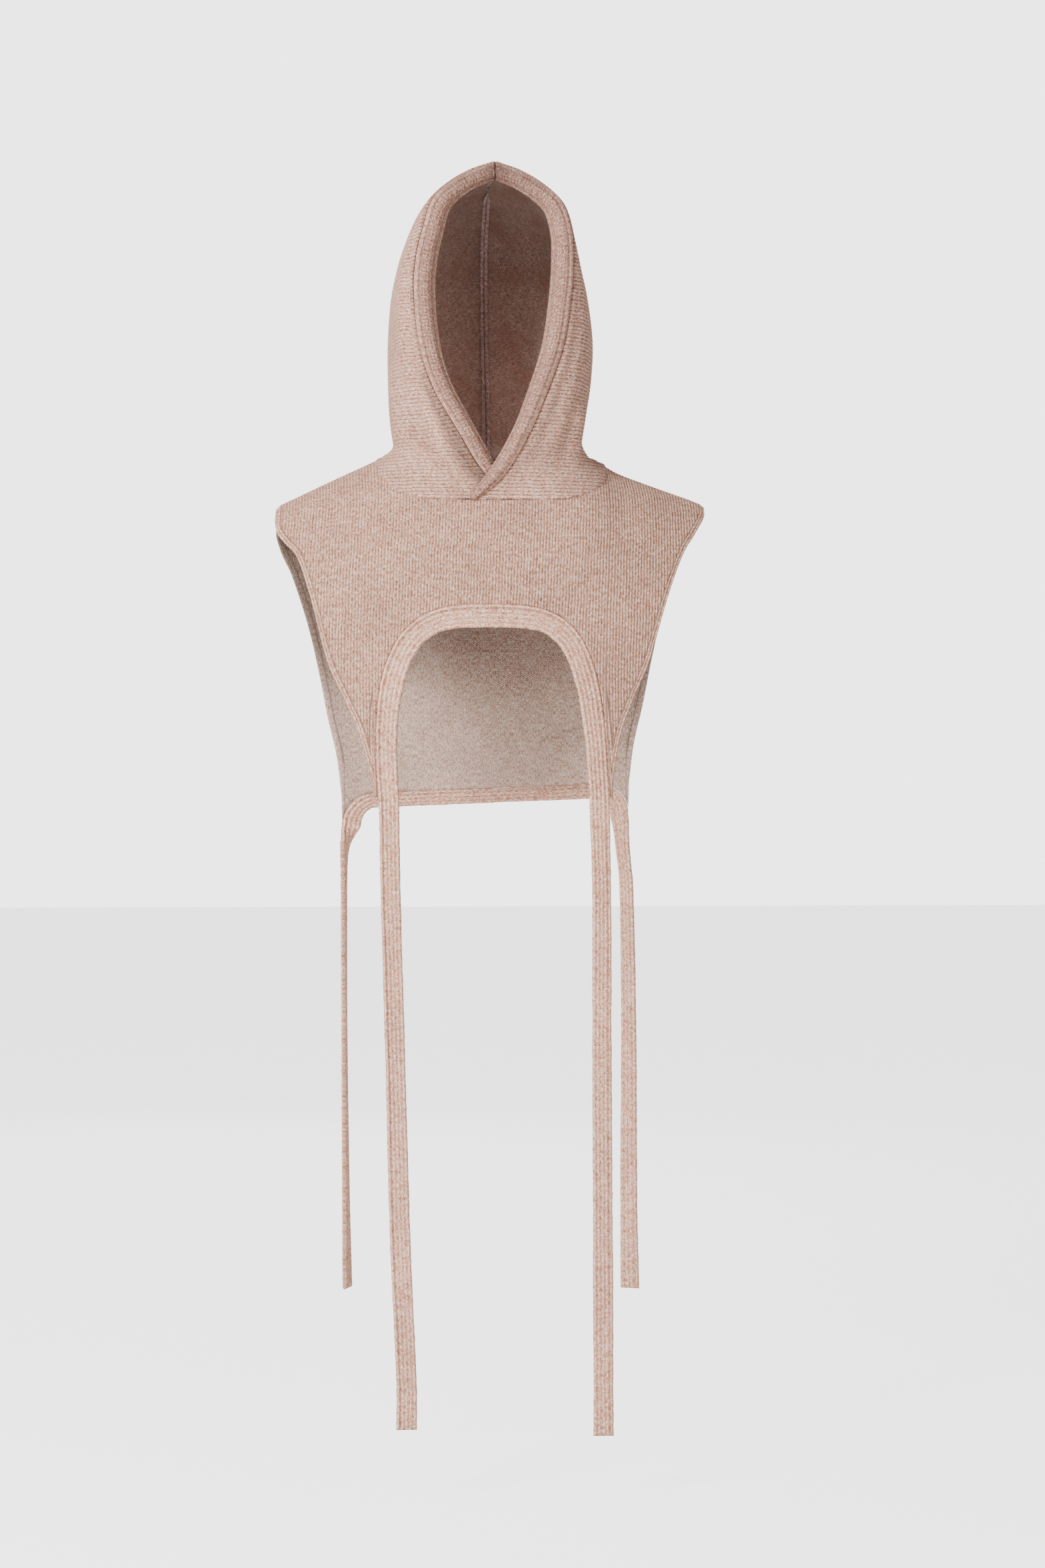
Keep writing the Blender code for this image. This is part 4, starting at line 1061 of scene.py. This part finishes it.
def bib_panel(name, drape, bottom, foot_half_width, seed):
    """A panel of the bib, with a rib to every wale and a two-stitch border at its sides."""
    wale = np.linspace(-SHOULDER_HALF_SPAN, SHOULDER_HALF_SPAN, WALES * WALE_COLUMNS + 1)[None, :]
    down = np.linspace(0, 1, PANEL_ROWS)[:, None]
    down = down - CROWDING * np.sin(2 * np.pi * down) / (2 * np.pi)
    sway_mm = wander(250 * down + 0.25 * wale * 1000, 17, seed) * np.sin(np.pi * down)
    x = wale + WALE_SWAY * sway_mm * smooth(0, 0.02, SHOULDER_HALF_SPAN - np.abs(wale))
    points = askew(panel_point(x, down, bottom(x), drape), drape)
    # Distances to the lower edge, the neck ring and the shoulder tips
    top_slope = np.clip(np.gradient(points[0, :, 2], wale[0]), -2, 2)
    down_mm = travelled(points, 0)
    low_mm, run_mm = edge_distance(points, points[-1])
    tip_mm = np.broadcast_to((SHOULDER_HALF_SPAN - np.abs(wale)) * 1000, down_mm.shape)
    edge_mm = np.minimum.reduce([
        low_mm, 2 * down_mm / np.sqrt(1 + top_slope ** 2)[None, :], tip_mm])
    # Within the border the wales turn and follow the edge
    at_side = np.abs(x) > foot_half_width - 0.002
    side_mm = np.where(at_side, np.minimum(low_mm, tip_mm), FAR_MM)
    in_border = side_mm < BORDER_MM
    level_mm = down_mm - down_mm[-1:] - points[-1:, :, 2] * 1000 + 37.0 * seed
    level_mm = np.where(in_border, run_mm, level_mm)
    wale_mm = np.where(in_border, side_mm + 400.4, wale * 1000 + 7 * seed * WALE_MM)
    # Relief: wales, soft unevenness and the stitches picked up along the neck ring
    soft = SOFT_RISE * wander(wale * 1000 + 0.15 * down_mm, 22, seed) * smooth(0, 12, edge_mm)
    at_ring = smooth(RING_FADES, 0, np.abs(wale) - CORNER_FROM)
    stitches = 0.6 + 0.6 * wander(wale * 1000, 3.1, seed + 1)
    face = ribs(wale_mm, WALE_MM, WALE_RISE) + soft
    face = face + RING_RIDGE_RISE * at_ring * stitches * hill(down_mm, 2.6, 1.3)
    # Painted shade in the grooves beside the border and along the neck ring, and a painted
    # highlight on the border
    tone_and_painted_light = (1 + PANEL_PAINTED_LIGHT["border_groove"] * hill(side_mm, BORDER_MM, 0.9)
            + PANEL_PAINTED_LIGHT["border"] * in_border
            + PANEL_PAINTED_LIGHT["ring_groove"] * at_ring * (1.2 - stitches) * hill(down_mm, 0.4, 1.5))
    # Painted shade on the inside layer, darker high up and towards the flanks
    inside = (1 + PANEL_PAINTED_LIGHT["chest"] * smooth(*CHEST_SHADE_HEIGHTS, points[..., 2])
              + PANEL_PAINTED_LIGHT["flank"] * smooth(*FLANK_SHADE_PLACES, np.abs(points[..., 0])))
    knit_place = place(wale_mm, level_mm, 0.0)
    return knit_sheet(name, points, 1, KNIT_WALL, knit_place, [bib_face, bib_reverse],
                      edge_mm, face, 0.0, tone_and_painted_light, inside)


panel = bib_panel("front_panel_knit", FRONT_DRAPE, front_bottom, FRONT_FOOT_HALF_WIDTH, 5)
dress(panel, "front_panel")
panel = bib_panel("back_panel_knit", BACK_DRAPE, back_bottom, BACK_FOOT_HALF_WIDTH, 8)
dress(panel, "back_panel")

# %% [markdown]
# ## Edging and straps
#
# One long band edges the arch and runs on into both front straps, and another does the same
# at the back hem. A curve with a flat bevel could make such a strap, but its ribs and uneven
# edges need their own grid. So a band is laid out on a fine grid along its path, then resampled
# in even steps of about a millimetre, and its stitches keep their size all the way.

# %% Paths of the bands
BAND_COLUMNS = 20
TIE_STEPS = 600
ARCH_STEPS = 901
ARCH_CROWDING = 0.45
ARCH_STEP = 0.01
FULL_WIDTH_FROM = 0.5
HEM_CORNER_STEPS = 80
HEM_STEPS = 200


def hang(tie, start, down, across, sign):
    """Points of a hanging tie, a share down and a share across from its outer edge."""
    turn = np.radians(along(tie.rows, "turn", down))
    breadth = tie.width * along(tie.rows, "width", down)
    middle = start + place(tie.width * along(tie.rows, "drift", down),
                           tie.width * along(tie.rows, "forward", down), -tie.length * down)
    offset = sign * breadth * (0.5 - across)
    return middle + place(np.cos(turn) * offset, np.sin(turn) * offset, 0.0)


def lay(x, z, drape):
    """A band's middle on the bib, in the thickness of the panel's wall."""
    y = panel_y(x, z, drape) + drape.sign * KNIT_WALL / 2
    return askew(place(x, y, z), drape)


def with_ties(middle, ties, feet):
    """A band's rows: up the right tie, along its middle part and down the left tie."""
    down = np.linspace(0, 1, TIE_STEPS)[:, None]
    across = np.linspace(0, 1, middle.shape[1])[None, :]
    right = hang(TIES[ties + "_right"], feet[0], down[:0:-1], across, 1)
    left = hang(TIES[ties + "_left"], feet[1], down[1:], across, -1)
    return np.concatenate([right, middle, left])


def front_band_points():
    """Right tie, arch edging and left tie of the front."""
    across = np.linspace(0, 1, BAND_COLUMNS + 1)[None, :]
    angle = np.linspace(0, np.pi, ARCH_STEPS)[:, None]
    angle = angle - ARCH_CROWDING * np.sin(2 * angle)
    x, z = arch_edge(angle)
    x_on, z_on = arch_edge(np.minimum(angle + ARCH_STEP, np.pi))
    x_off, z_off = arch_edge(np.maximum(angle - ARCH_STEP, 0.0))
    inward = unit(place(z_off - z_on, 0.0, x_on - x_off))
    crown = smooth(0.0, FULL_WIDTH_FROM, np.sin(angle))
    width = FRONT_TIE_WIDTH + (ARCH_BAND_WIDTH - FRONT_TIE_WIDTH) * crown
    reach = width * across
    middle = lay(x + inward[..., 0] * reach, z + inward[..., 2] * reach, FRONT_DRAPE)
    feet = [lay(s * (ARCH_HALF_WIDTH - FRONT_TIE_WIDTH / 2), -FRONT_LENGTH, FRONT_DRAPE)
            for s in (1, -1)]
    return with_ties(middle, "front", feet)


def back_band_points():
    """Right tie, hem edging and left tie of the back."""
    across = np.linspace(0, 1, BAND_COLUMNS + 1)[None, :]
    flat = BACK_FOOT_HALF_WIDTH - HEM_CORNER_RADIUS
    turn = np.linspace(0, np.pi / 2, HEM_CORNER_STEPS)
    run = np.linspace(1, -1, HEM_STEPS)[1:-1]
    x = np.concatenate([flat + HEM_CORNER_RADIUS * np.cos(turn), flat * run,
                        -flat - HEM_CORNER_RADIUS * np.cos(turn[::-1])])[:, None]
    rise = HEM_CORNER_RADIUS * (1 - np.sin(turn))
    z = np.concatenate([-rise, 0 * run, -rise[::-1]])[:, None]
    inward_x = np.concatenate([-np.cos(turn), 0 * run, np.cos(turn[::-1])])[:, None]
    inward_z = np.concatenate([-np.sin(turn), 0 * run - 1, -np.sin(turn[::-1])])[:, None]
    width = HEM_BAND_WIDTH + (BACK_TIE_WIDTH - HEM_BAND_WIDTH) * np.abs(inward_x)
    reach = width * across
    middle = lay(x + inward_x * reach, hem_z(x) + z + inward_z * reach, BACK_DRAPE)
    feet = [lay(s * (BACK_FOOT_HALF_WIDTH - BACK_TIE_WIDTH / 2),
                hem_z(s * BACK_FOOT_HALF_WIDTH) - HEM_CORNER_RADIUS, BACK_DRAPE)
            for s in (1, -1)]
    return with_ties(middle, "back", feet)


# %% Relief of a band, and the two bands
STRAP_RIB_MM = 4.1
STRAP_WALL = TIE_WALL * 0.8
STRAP_RISES = {"rib": 0.0010, "back_rib": 0.0008, "border": 0.0006, "groove": -0.0009,
               "uneven": 0.00015}
# Painted shade in the groove beside the outer border, and a painted highlight on both borders
STRAP_PAINTED_LIGHT = {"groove": -0.55, "border": 0.12}
# Centre and breadth of each line along a band, as shares of its width
OUTER_BORDER = (0.07, 0.06)
INNER_BORDER = (0.95, 0.05)
BORDER_GROOVE = (0.17, 0.028)
INNER_BORDER_SHARE = 0.7


def band_piece(name, points, seed):
    """A band with lengthwise ribs, a rolled border on each side and slightly uneven edges."""
    middle = points.shape[1] // 2
    run = travelled(points[:, middle:middle + 1], 0)[:, 0]
    wanted = np.linspace(0, run[-1], int(run[-1]))
    points = np.stack([[np.interp(wanted, run, points[:, c, k]) for k in range(3)]
                       for c in range(points.shape[1])]).transpose(2, 0, 1)
    along_mm, across_mm = np.broadcast_to(wanted[:, None], points.shape[:2]), travelled(points, 1)
    centre = points[:, middle:middle + 1]
    uneven = 1 + 0.022 * wander(along_mm, 5, seed) + 0.02 * wander(along_mm, 38, seed + 1)
    points = centre + (points - centre) * uneven[..., None]
    width_mm = across_mm[:, -1:]
    share = across_mm / width_mm
    edge_mm = np.minimum.reduce([across_mm, width_mm - across_mm, along_mm,
                                 wanted[-1] - along_mm])
    border = hill(share, *OUTER_BORDER) + INNER_BORDER_SHARE * hill(share, *INNER_BORDER)
    groove = hill(share, *BORDER_GROOVE)
    rib_count = np.round(width_mm.mean() / STRAP_RIB_MM)
    drift = 0.10 * wander(along_mm, 17, seed + 2)
    rib_mm = (share * rib_count + drift * np.sin(np.pi * share)) * STRAP_RIB_MM
    face = (ribs(rib_mm, STRAP_RIB_MM, STRAP_RISES["rib"]) + STRAP_RISES["border"] * border
            + STRAP_RISES["groove"] * groove
            + STRAP_RISES["uneven"] * wander(along_mm, 3, seed + 3))
    back = ribs(rib_mm, STRAP_RIB_MM, STRAP_RISES["back_rib"])
    # Painted shade in the groove beside the outer border, and a painted highlight on both borders
    tone_and_painted_light = 1 + STRAP_PAINTED_LIGHT["groove"] * groove + STRAP_PAINTED_LIGHT["border"] * border
    return knit_sheet(name, points, 0, STRAP_WALL, place(rib_mm, along_mm, 0.0), [strap_rib],
                      edge_mm, face, back, tone_and_painted_light)


band = band_piece("front_tie_band_knit", front_band_points(), 11)
dress(band, "front_tie_band")
band = band_piece("back_tie_band_knit", back_band_points(), 31)
dress(band, "back_tie_band")

# %% [markdown]
# ## Edging of the face opening
#
# Each half of the hood has its own rolled band at the face. Its outer part is smooth, its
# middle is a row of slanted stitches like a rope, and its inner edge rolls back smoothly. A
# tube along the rim would be too even, so the band is a strip that bulges forward and curls
# back at its inner edge. It narrows towards the throat, as the real one does.

# %% Path of a face band
FACE_STEPS = (601, 24, 380)
TANGENT_STEP = 0.02
CENTRED_FROM = 0.86
CURL = 0.12
ROLL_RISE = 0.0045
ROLL_BACK = 0.0035
ROLL_BACK_FROM = 0.62
ROLL_LEAN = 0.85
TUCKED_END = (0.04, 0.2)
PEAK_FLATTENS = (0.8, 0.4)


def face_band_points(left):
    """Rows of the band on the rim of one half, turned in towards the face."""
    sign = -1 if left else 1
    steps_up, steps_across, even_steps = FACE_STEPS
    up = np.linspace(0, 1, steps_up)[:, None]
    across = np.linspace(0, 1, steps_across + 1)[None, :]
    rim = hood_point(0.0, up, left)
    tangent = unit(hood_point(0.0, np.minimum(up + TANGENT_STEP, 1.0), left)
                   - hood_point(0.0, np.maximum(up - TANGENT_STEP, 0.0), left))
    inward = unit(place(-sign * tangent[..., 2], 0.0, sign * tangent[..., 0]))
    centred = smooth(CENTRED_FROM, 1.0, up)
    inward = unit(inward * (1 - centred)[..., None] + place(0.0, 0.0, -1.0) * centred[..., None])
    width = FACE_BAND_WIDTH * along(HOOD_ROWS, "band", up)
    curl = CURL * width * across ** 2 + ROLL_BACK * smooth(ROLL_BACK_FROM, 1.0, across)
    bulge = ROLL_RISE * np.sin(np.pi * across ** ROLL_LEAN)
    bulge = bulge * (smooth(*TUCKED_END, up) if left else 1)
    flat_from, flatter = PEAK_FLATTENS
    bulge = bulge * (1 - flatter * smooth(flat_from, 1.0, up))
    apart = sign * BAND_END_GAP * centred
    points = rim + inward * (width * across)[..., None]
    points = points + place(apart, curl - bulge - KNIT_WALL / 2, 0.0)
    return evenly(points, even_steps, 0)


# %% Relief of the face bands
FACE_WALL = BAND_WALL * 0.7
# Centre and breadth of each line along the band, as shares of its width
SELVEDGE = (0.12, 0.10)
INNER_ROLL = (0.90, 0.11)
# Lines of painted shade along the band
OUTER_SHADE_LINE = (0.24, 0.05)
INNER_SHADE_LINE = (0.74, 0.05)
INNER_SHADE_LINE_SHARE = 0.7
ROPE_ZONE = (0.24, 0.34, 0.66, 0.76)
ROPE_MM = 3.2
ROPE_SLANT = 3.0
FACE_RISES = {"selvedge": 0.0010, "roll": 0.0014, "rope": 0.0004, "rope_stitch": 0.0002,
              "back_roll": 0.0004}
# Tone of the band: its overall tone and lighter rope stitches, a painted highlight on the selvedge,
# and painted shade in the lines, at the inner edge, high up and near the peak
FACE_TONES_AND_PAINTED_LIGHT = {"all": 0.82, "selvedge": 0.30, "shade_lines": -0.32, "inner_edge": -0.25, "rope": 0.18,
              "high": -0.30, "peak": -0.35}
INNER_EDGE_SHADE_FROM = 0.82
HIGH_SHADE_HEIGHTS = (0.215, 0.262)
PEAK_SHADE_MM = (18, 2)


def face_band(name, left, seed):
    """The band on the rim of one half, with its selvedge, its rope of stitches and its roll."""
    points = face_band_points(left)
    along_mm, across_mm = travelled(points, 0), travelled(points, 1)
    middle = points.shape[1] // 2
    along_mm = np.broadcast_to(along_mm[:, middle:middle + 1], across_mm.shape)
    share = across_mm / across_mm[:, -1:]
    to_peak_mm = along_mm[-1:] - along_mm
    edge_mm = np.minimum.reduce([across_mm, across_mm[:, -1:] - across_mm, along_mm, to_peak_mm])
    selvedge, roll = hill(share, *SELVEDGE), hill(share, *INNER_ROLL)
    shade_lines = hill(share, *OUTER_SHADE_LINE) + INNER_SHADE_LINE_SHARE * hill(share, *INNER_SHADE_LINE)
    rope_zone = plateau(share, *ROPE_ZONE)
    rope = np.sin(FULL_TURN * (along_mm / ROPE_MM + ROPE_SLANT * np.abs(share - 0.5)
                               + 0.12 * wander(along_mm, 12, seed)))
    face = (FACE_RISES["selvedge"] * selvedge + FACE_RISES["roll"] * roll
            + rope_zone * (FACE_RISES["rope"] + FACE_RISES["rope_stitch"] * rope))
    # A painted highlight on the selvedge, painted shade in the two lines and at the inner edge, and
    # lighter rope stitches
    tone_and_painted_light = (FACE_TONES_AND_PAINTED_LIGHT["all"] + FACE_TONES_AND_PAINTED_LIGHT["selvedge"] * selvedge + FACE_TONES_AND_PAINTED_LIGHT["shade_lines"] * shade_lines
            + FACE_TONES_AND_PAINTED_LIGHT["inner_edge"] * smooth(INNER_EDGE_SHADE_FROM, 1.0, share)
            + FACE_TONES_AND_PAINTED_LIGHT["rope"] * rope_zone * rope)
    # Painted shade high on the band and near the peak
    tone_and_painted_light = tone_and_painted_light * (1 + FACE_TONES_AND_PAINTED_LIGHT["high"] * smooth(*HIGH_SHADE_HEIGHTS, points[..., 2]))
    tone_and_painted_light = tone_and_painted_light * (1 + FACE_TONES_AND_PAINTED_LIGHT["peak"] * smooth(*PEAK_SHADE_MM, to_peak_mm))
    return knit_sheet(name, points, 0, FACE_WALL, place(across_mm, along_mm, 0.0), [edging],
                      edge_mm, face, FACE_RISES["back_roll"] * roll, tone_and_painted_light)


for side_name, is_left, seed in (("left", True, 51), ("right", False, 61)):
    band = face_band("face_band_" + side_name + "_knit", is_left, seed)
    dress(band, "face_band_" + side_name)

# %% [markdown]
# ## Seam inside the hood
#
# The halves are linked by a seam that shows inside as two small ridges with a line between.
# It is 8 mm wide and follows both halves, so a bump on them could draw it, but its ridges catch
# the light inside the dark hood. So it is a narrow strip laid on their inner faces. It leans on
# the left half with one side and on the right half with the other.

# %% Linking seam
SEAM_STEPS = (300, 150, 420)
SEAM_COLUMNS = 12
SEAM_END = 0.14
SEAM_TOP_FROM = 0.9
SEAM_BESIDE = 0.10
SEAM_BELOW = 0.035
SEAM_LIFT = 3 * SEAM_GAP
SEAM_SHEET_WALL = SEAM_WALL * 0.6
# Height or tone, centre and breadth of the ridges and of the line, as shares of the half width.
# The tone is a painted highlight on the ridges and painted shade in the line.
SEAM_RISES = ((0.0005, 0.5, 0.28), (-0.0006, 0, 0.16))
SEAM_PAINTED_LIGHT = ((0.15, 0.5, 0.30), (-0.45, 0, 0.20))


def hood_seam():
    """The seam from the nape over the crest to the peak of the face opening."""
    back_steps, top_steps, even_steps = SEAM_STEPS
    up = np.concatenate([np.linspace(0, 1, back_steps), np.ones(top_steps)])[:, None]
    over = np.concatenate([np.ones(back_steps), np.linspace(1, SEAM_END, top_steps + 1)[1:]])
    over = over[:, None]
    centre = hood_point(over, up, False)
    centre[..., 0] = 0.0
    near_top = smooth(SEAM_TOP_FROM, 1.0, up)
    near_over = np.where(over == 1, over - SEAM_BESIDE * (1 - near_top), over)
    near_up = up - SEAM_BELOW * near_top
    across = np.linspace(-1, 1, SEAM_COLUMNS + 1)[None, :]
    leans = [unit(hood_point(near_over, near_up, left) - centre) * SEAM_WIDTH / 2
             for left in (True, False)]
    spread = np.where((across < 0)[..., None], *leans) * np.abs(across)[..., None]
    middle = place(0.0 * up, HOOD_BACK * 0.1, np.minimum(centre[..., 2], HOOD_HEIGHT * 0.5))
    points = evenly(centre + spread + unit(middle - centre) * SEAM_LIFT, even_steps, 0)
    along_mm, across_mm = travelled(points, 0), travelled(points, 1)
    share = np.broadcast_to(np.abs(across), across_mm.shape)
    edge_mm = np.minimum(across_mm, across_mm[:, -1:] - across_mm)
    back = sum(rise * hill(share, centre, breadth) for rise, centre, breadth in SEAM_RISES)
    # A painted highlight on the ridges and painted shade in the line between them
    tone_and_painted_light = 1 + sum(shade * hill(share, centre, breadth) for shade, centre, breadth in SEAM_PAINTED_LIGHT)
    return knit_sheet("hood_seam_knit", points, -1, SEAM_SHEET_WALL,
                      place(across_mm, along_mm, 0.0), [seam_wool], edge_mm, 0.0, back, tone_and_painted_light)


dress(hood_seam(), "hood_seam")

# %% [markdown]
# ## Floor and room
#
# The photo is a shop picture on plain white. A curved backdrop could be built, but a big level
# floor under a pale room does the same with four corners. What the camera sees of them is
# lifted to near white, while the light that reaches the wool stays soft and low: a little more
# from the left than from the right, as in the photo.

# %% Pale floor
FLOOR_DROP = 0.06
FLOOR_REACH = 14
FLOOR_GLOW = 2.3

bpy.ops.object.select_all(action="DESELECT")
bpy.ops.mesh.primitive_plane_add(size=1)
floor = bpy.context.object
floor.name = "studio_floor"
floor_z = cad_box[0][2] - FLOOR_DROP
spots = [(a * FLOOR_REACH, b * FLOOR_REACH, floor_z) for b in (-1, 1) for a in (-1, 1)]
for corner, spot in zip(floor.data.vertices, spots):
    corner.co = spot
# Matt paper: no shine, so the floor shows as one even pale tone
paper = bpy.data.materials.new("pale_studio_paper")
paper.use_nodes = True
paper_shader = paper.node_tree.nodes["Principled BSDF"]
paper_shader.inputs["Base Color"].default_value = linear("#f6f5f3")
paper_shader.inputs["Roughness"].default_value = 0.8
paper_shader.inputs["Emission Color"].default_value = linear("#ffffff")
seen = add_node(paper.node_tree, "ShaderNodeLightPath")["Is Camera Ray"]
lit = add_node(paper.node_tree, "ShaderNodeMapRange", seen, 0.0, 1.0, 0.0, FLOOR_GLOW)[0]
paper.node_tree.links.new(lit, paper_shader.inputs["Emission Strength"])
floor.data.materials.append(paper)
print("floor at", round(floor_z, 3))

# %% Pale room
ROOM_LEFT = 0.58
ROOM_RIGHT = 0.28
ROOM_SEEN = 3.6

world = bpy.data.worlds.new("pale_room")
bpy.context.scene.world = world
world.use_nodes = True
room = world.node_tree
room.nodes["Background"].inputs["Color"].default_value = linear("#ffffff")
seen = add_node(room, "ShaderNodeLightPath")["Is Camera Ray"]
direction = add_node(room, "ShaderNodeTexCoord")["Generated"]
sideways = add_node(room, "ShaderNodeSeparateXYZ", direction)[0]
from_side = add_node(room, "ShaderNodeMapRange", sideways, -1.0, 1.0, ROOM_LEFT, ROOM_RIGHT)[0]
strength = add_node(room, "ShaderNodeMapRange", seen, 0.0, 1.0, from_side, ROOM_SEEN)[0]
room.links.new(strength, room.nodes["Background"].inputs["Strength"])
print("room light, left and right:", ROOM_LEFT, ROOM_RIGHT)

# %% [markdown]
# ## Light and camera
#
# Wool looks soft under big lights, because small ones give every rib a hard shadow. A large
# key light on the left models the folds, a weak fill keeps the right side open, and a light
# from behind reaches the inside of the back panel, which shows through the arch. The camera
# stands 3 m away with a long lens, level with the chest and a little to the left of it.

# %% Lights and camera
CAMERA_PLACE = (-0.1779, -2.9947, -0.306)
CAMERA_PAN = -3.977
CAMERA_LENS = 72.9
FILM_WIDTH = 36


def soft_light(name, location, target, size, power):
    """A large round light that points at the target; metres and watts."""
    bpy.ops.object.light_add(type="AREA", location=location)
    light = bpy.context.object
    light.name = name
    light.data.shape = "DISK"
    light.data.size = size
    light.data.energy = power
    light.rotation_euler = (Vector(target) - Vector(location)).to_track_quat("-Z", "Y").to_euler()


soft_light("key_light", (-2.0, -2.2, 1.2), (0, 0, -0.3), 1.3, 158)
soft_light("fill_light", (1.6, -2.4, 0.0), (0, 0, -0.4), 1.6, 20)
soft_light("back_light", (-0.6, 3.0, 0.8), (0, 0, -0.3), 1.6, 30)

bpy.ops.object.camera_add(location=CAMERA_PLACE,
                          rotation=(np.radians(90), 0, np.radians(CAMERA_PAN)))
camera = bpy.context.object
camera.data.lens = CAMERA_LENS
camera.data.sensor_width = FILM_WIDTH
bpy.context.scene.camera = camera
print("camera", CAMERA_LENS, "mm at", CAMERA_PLACE)
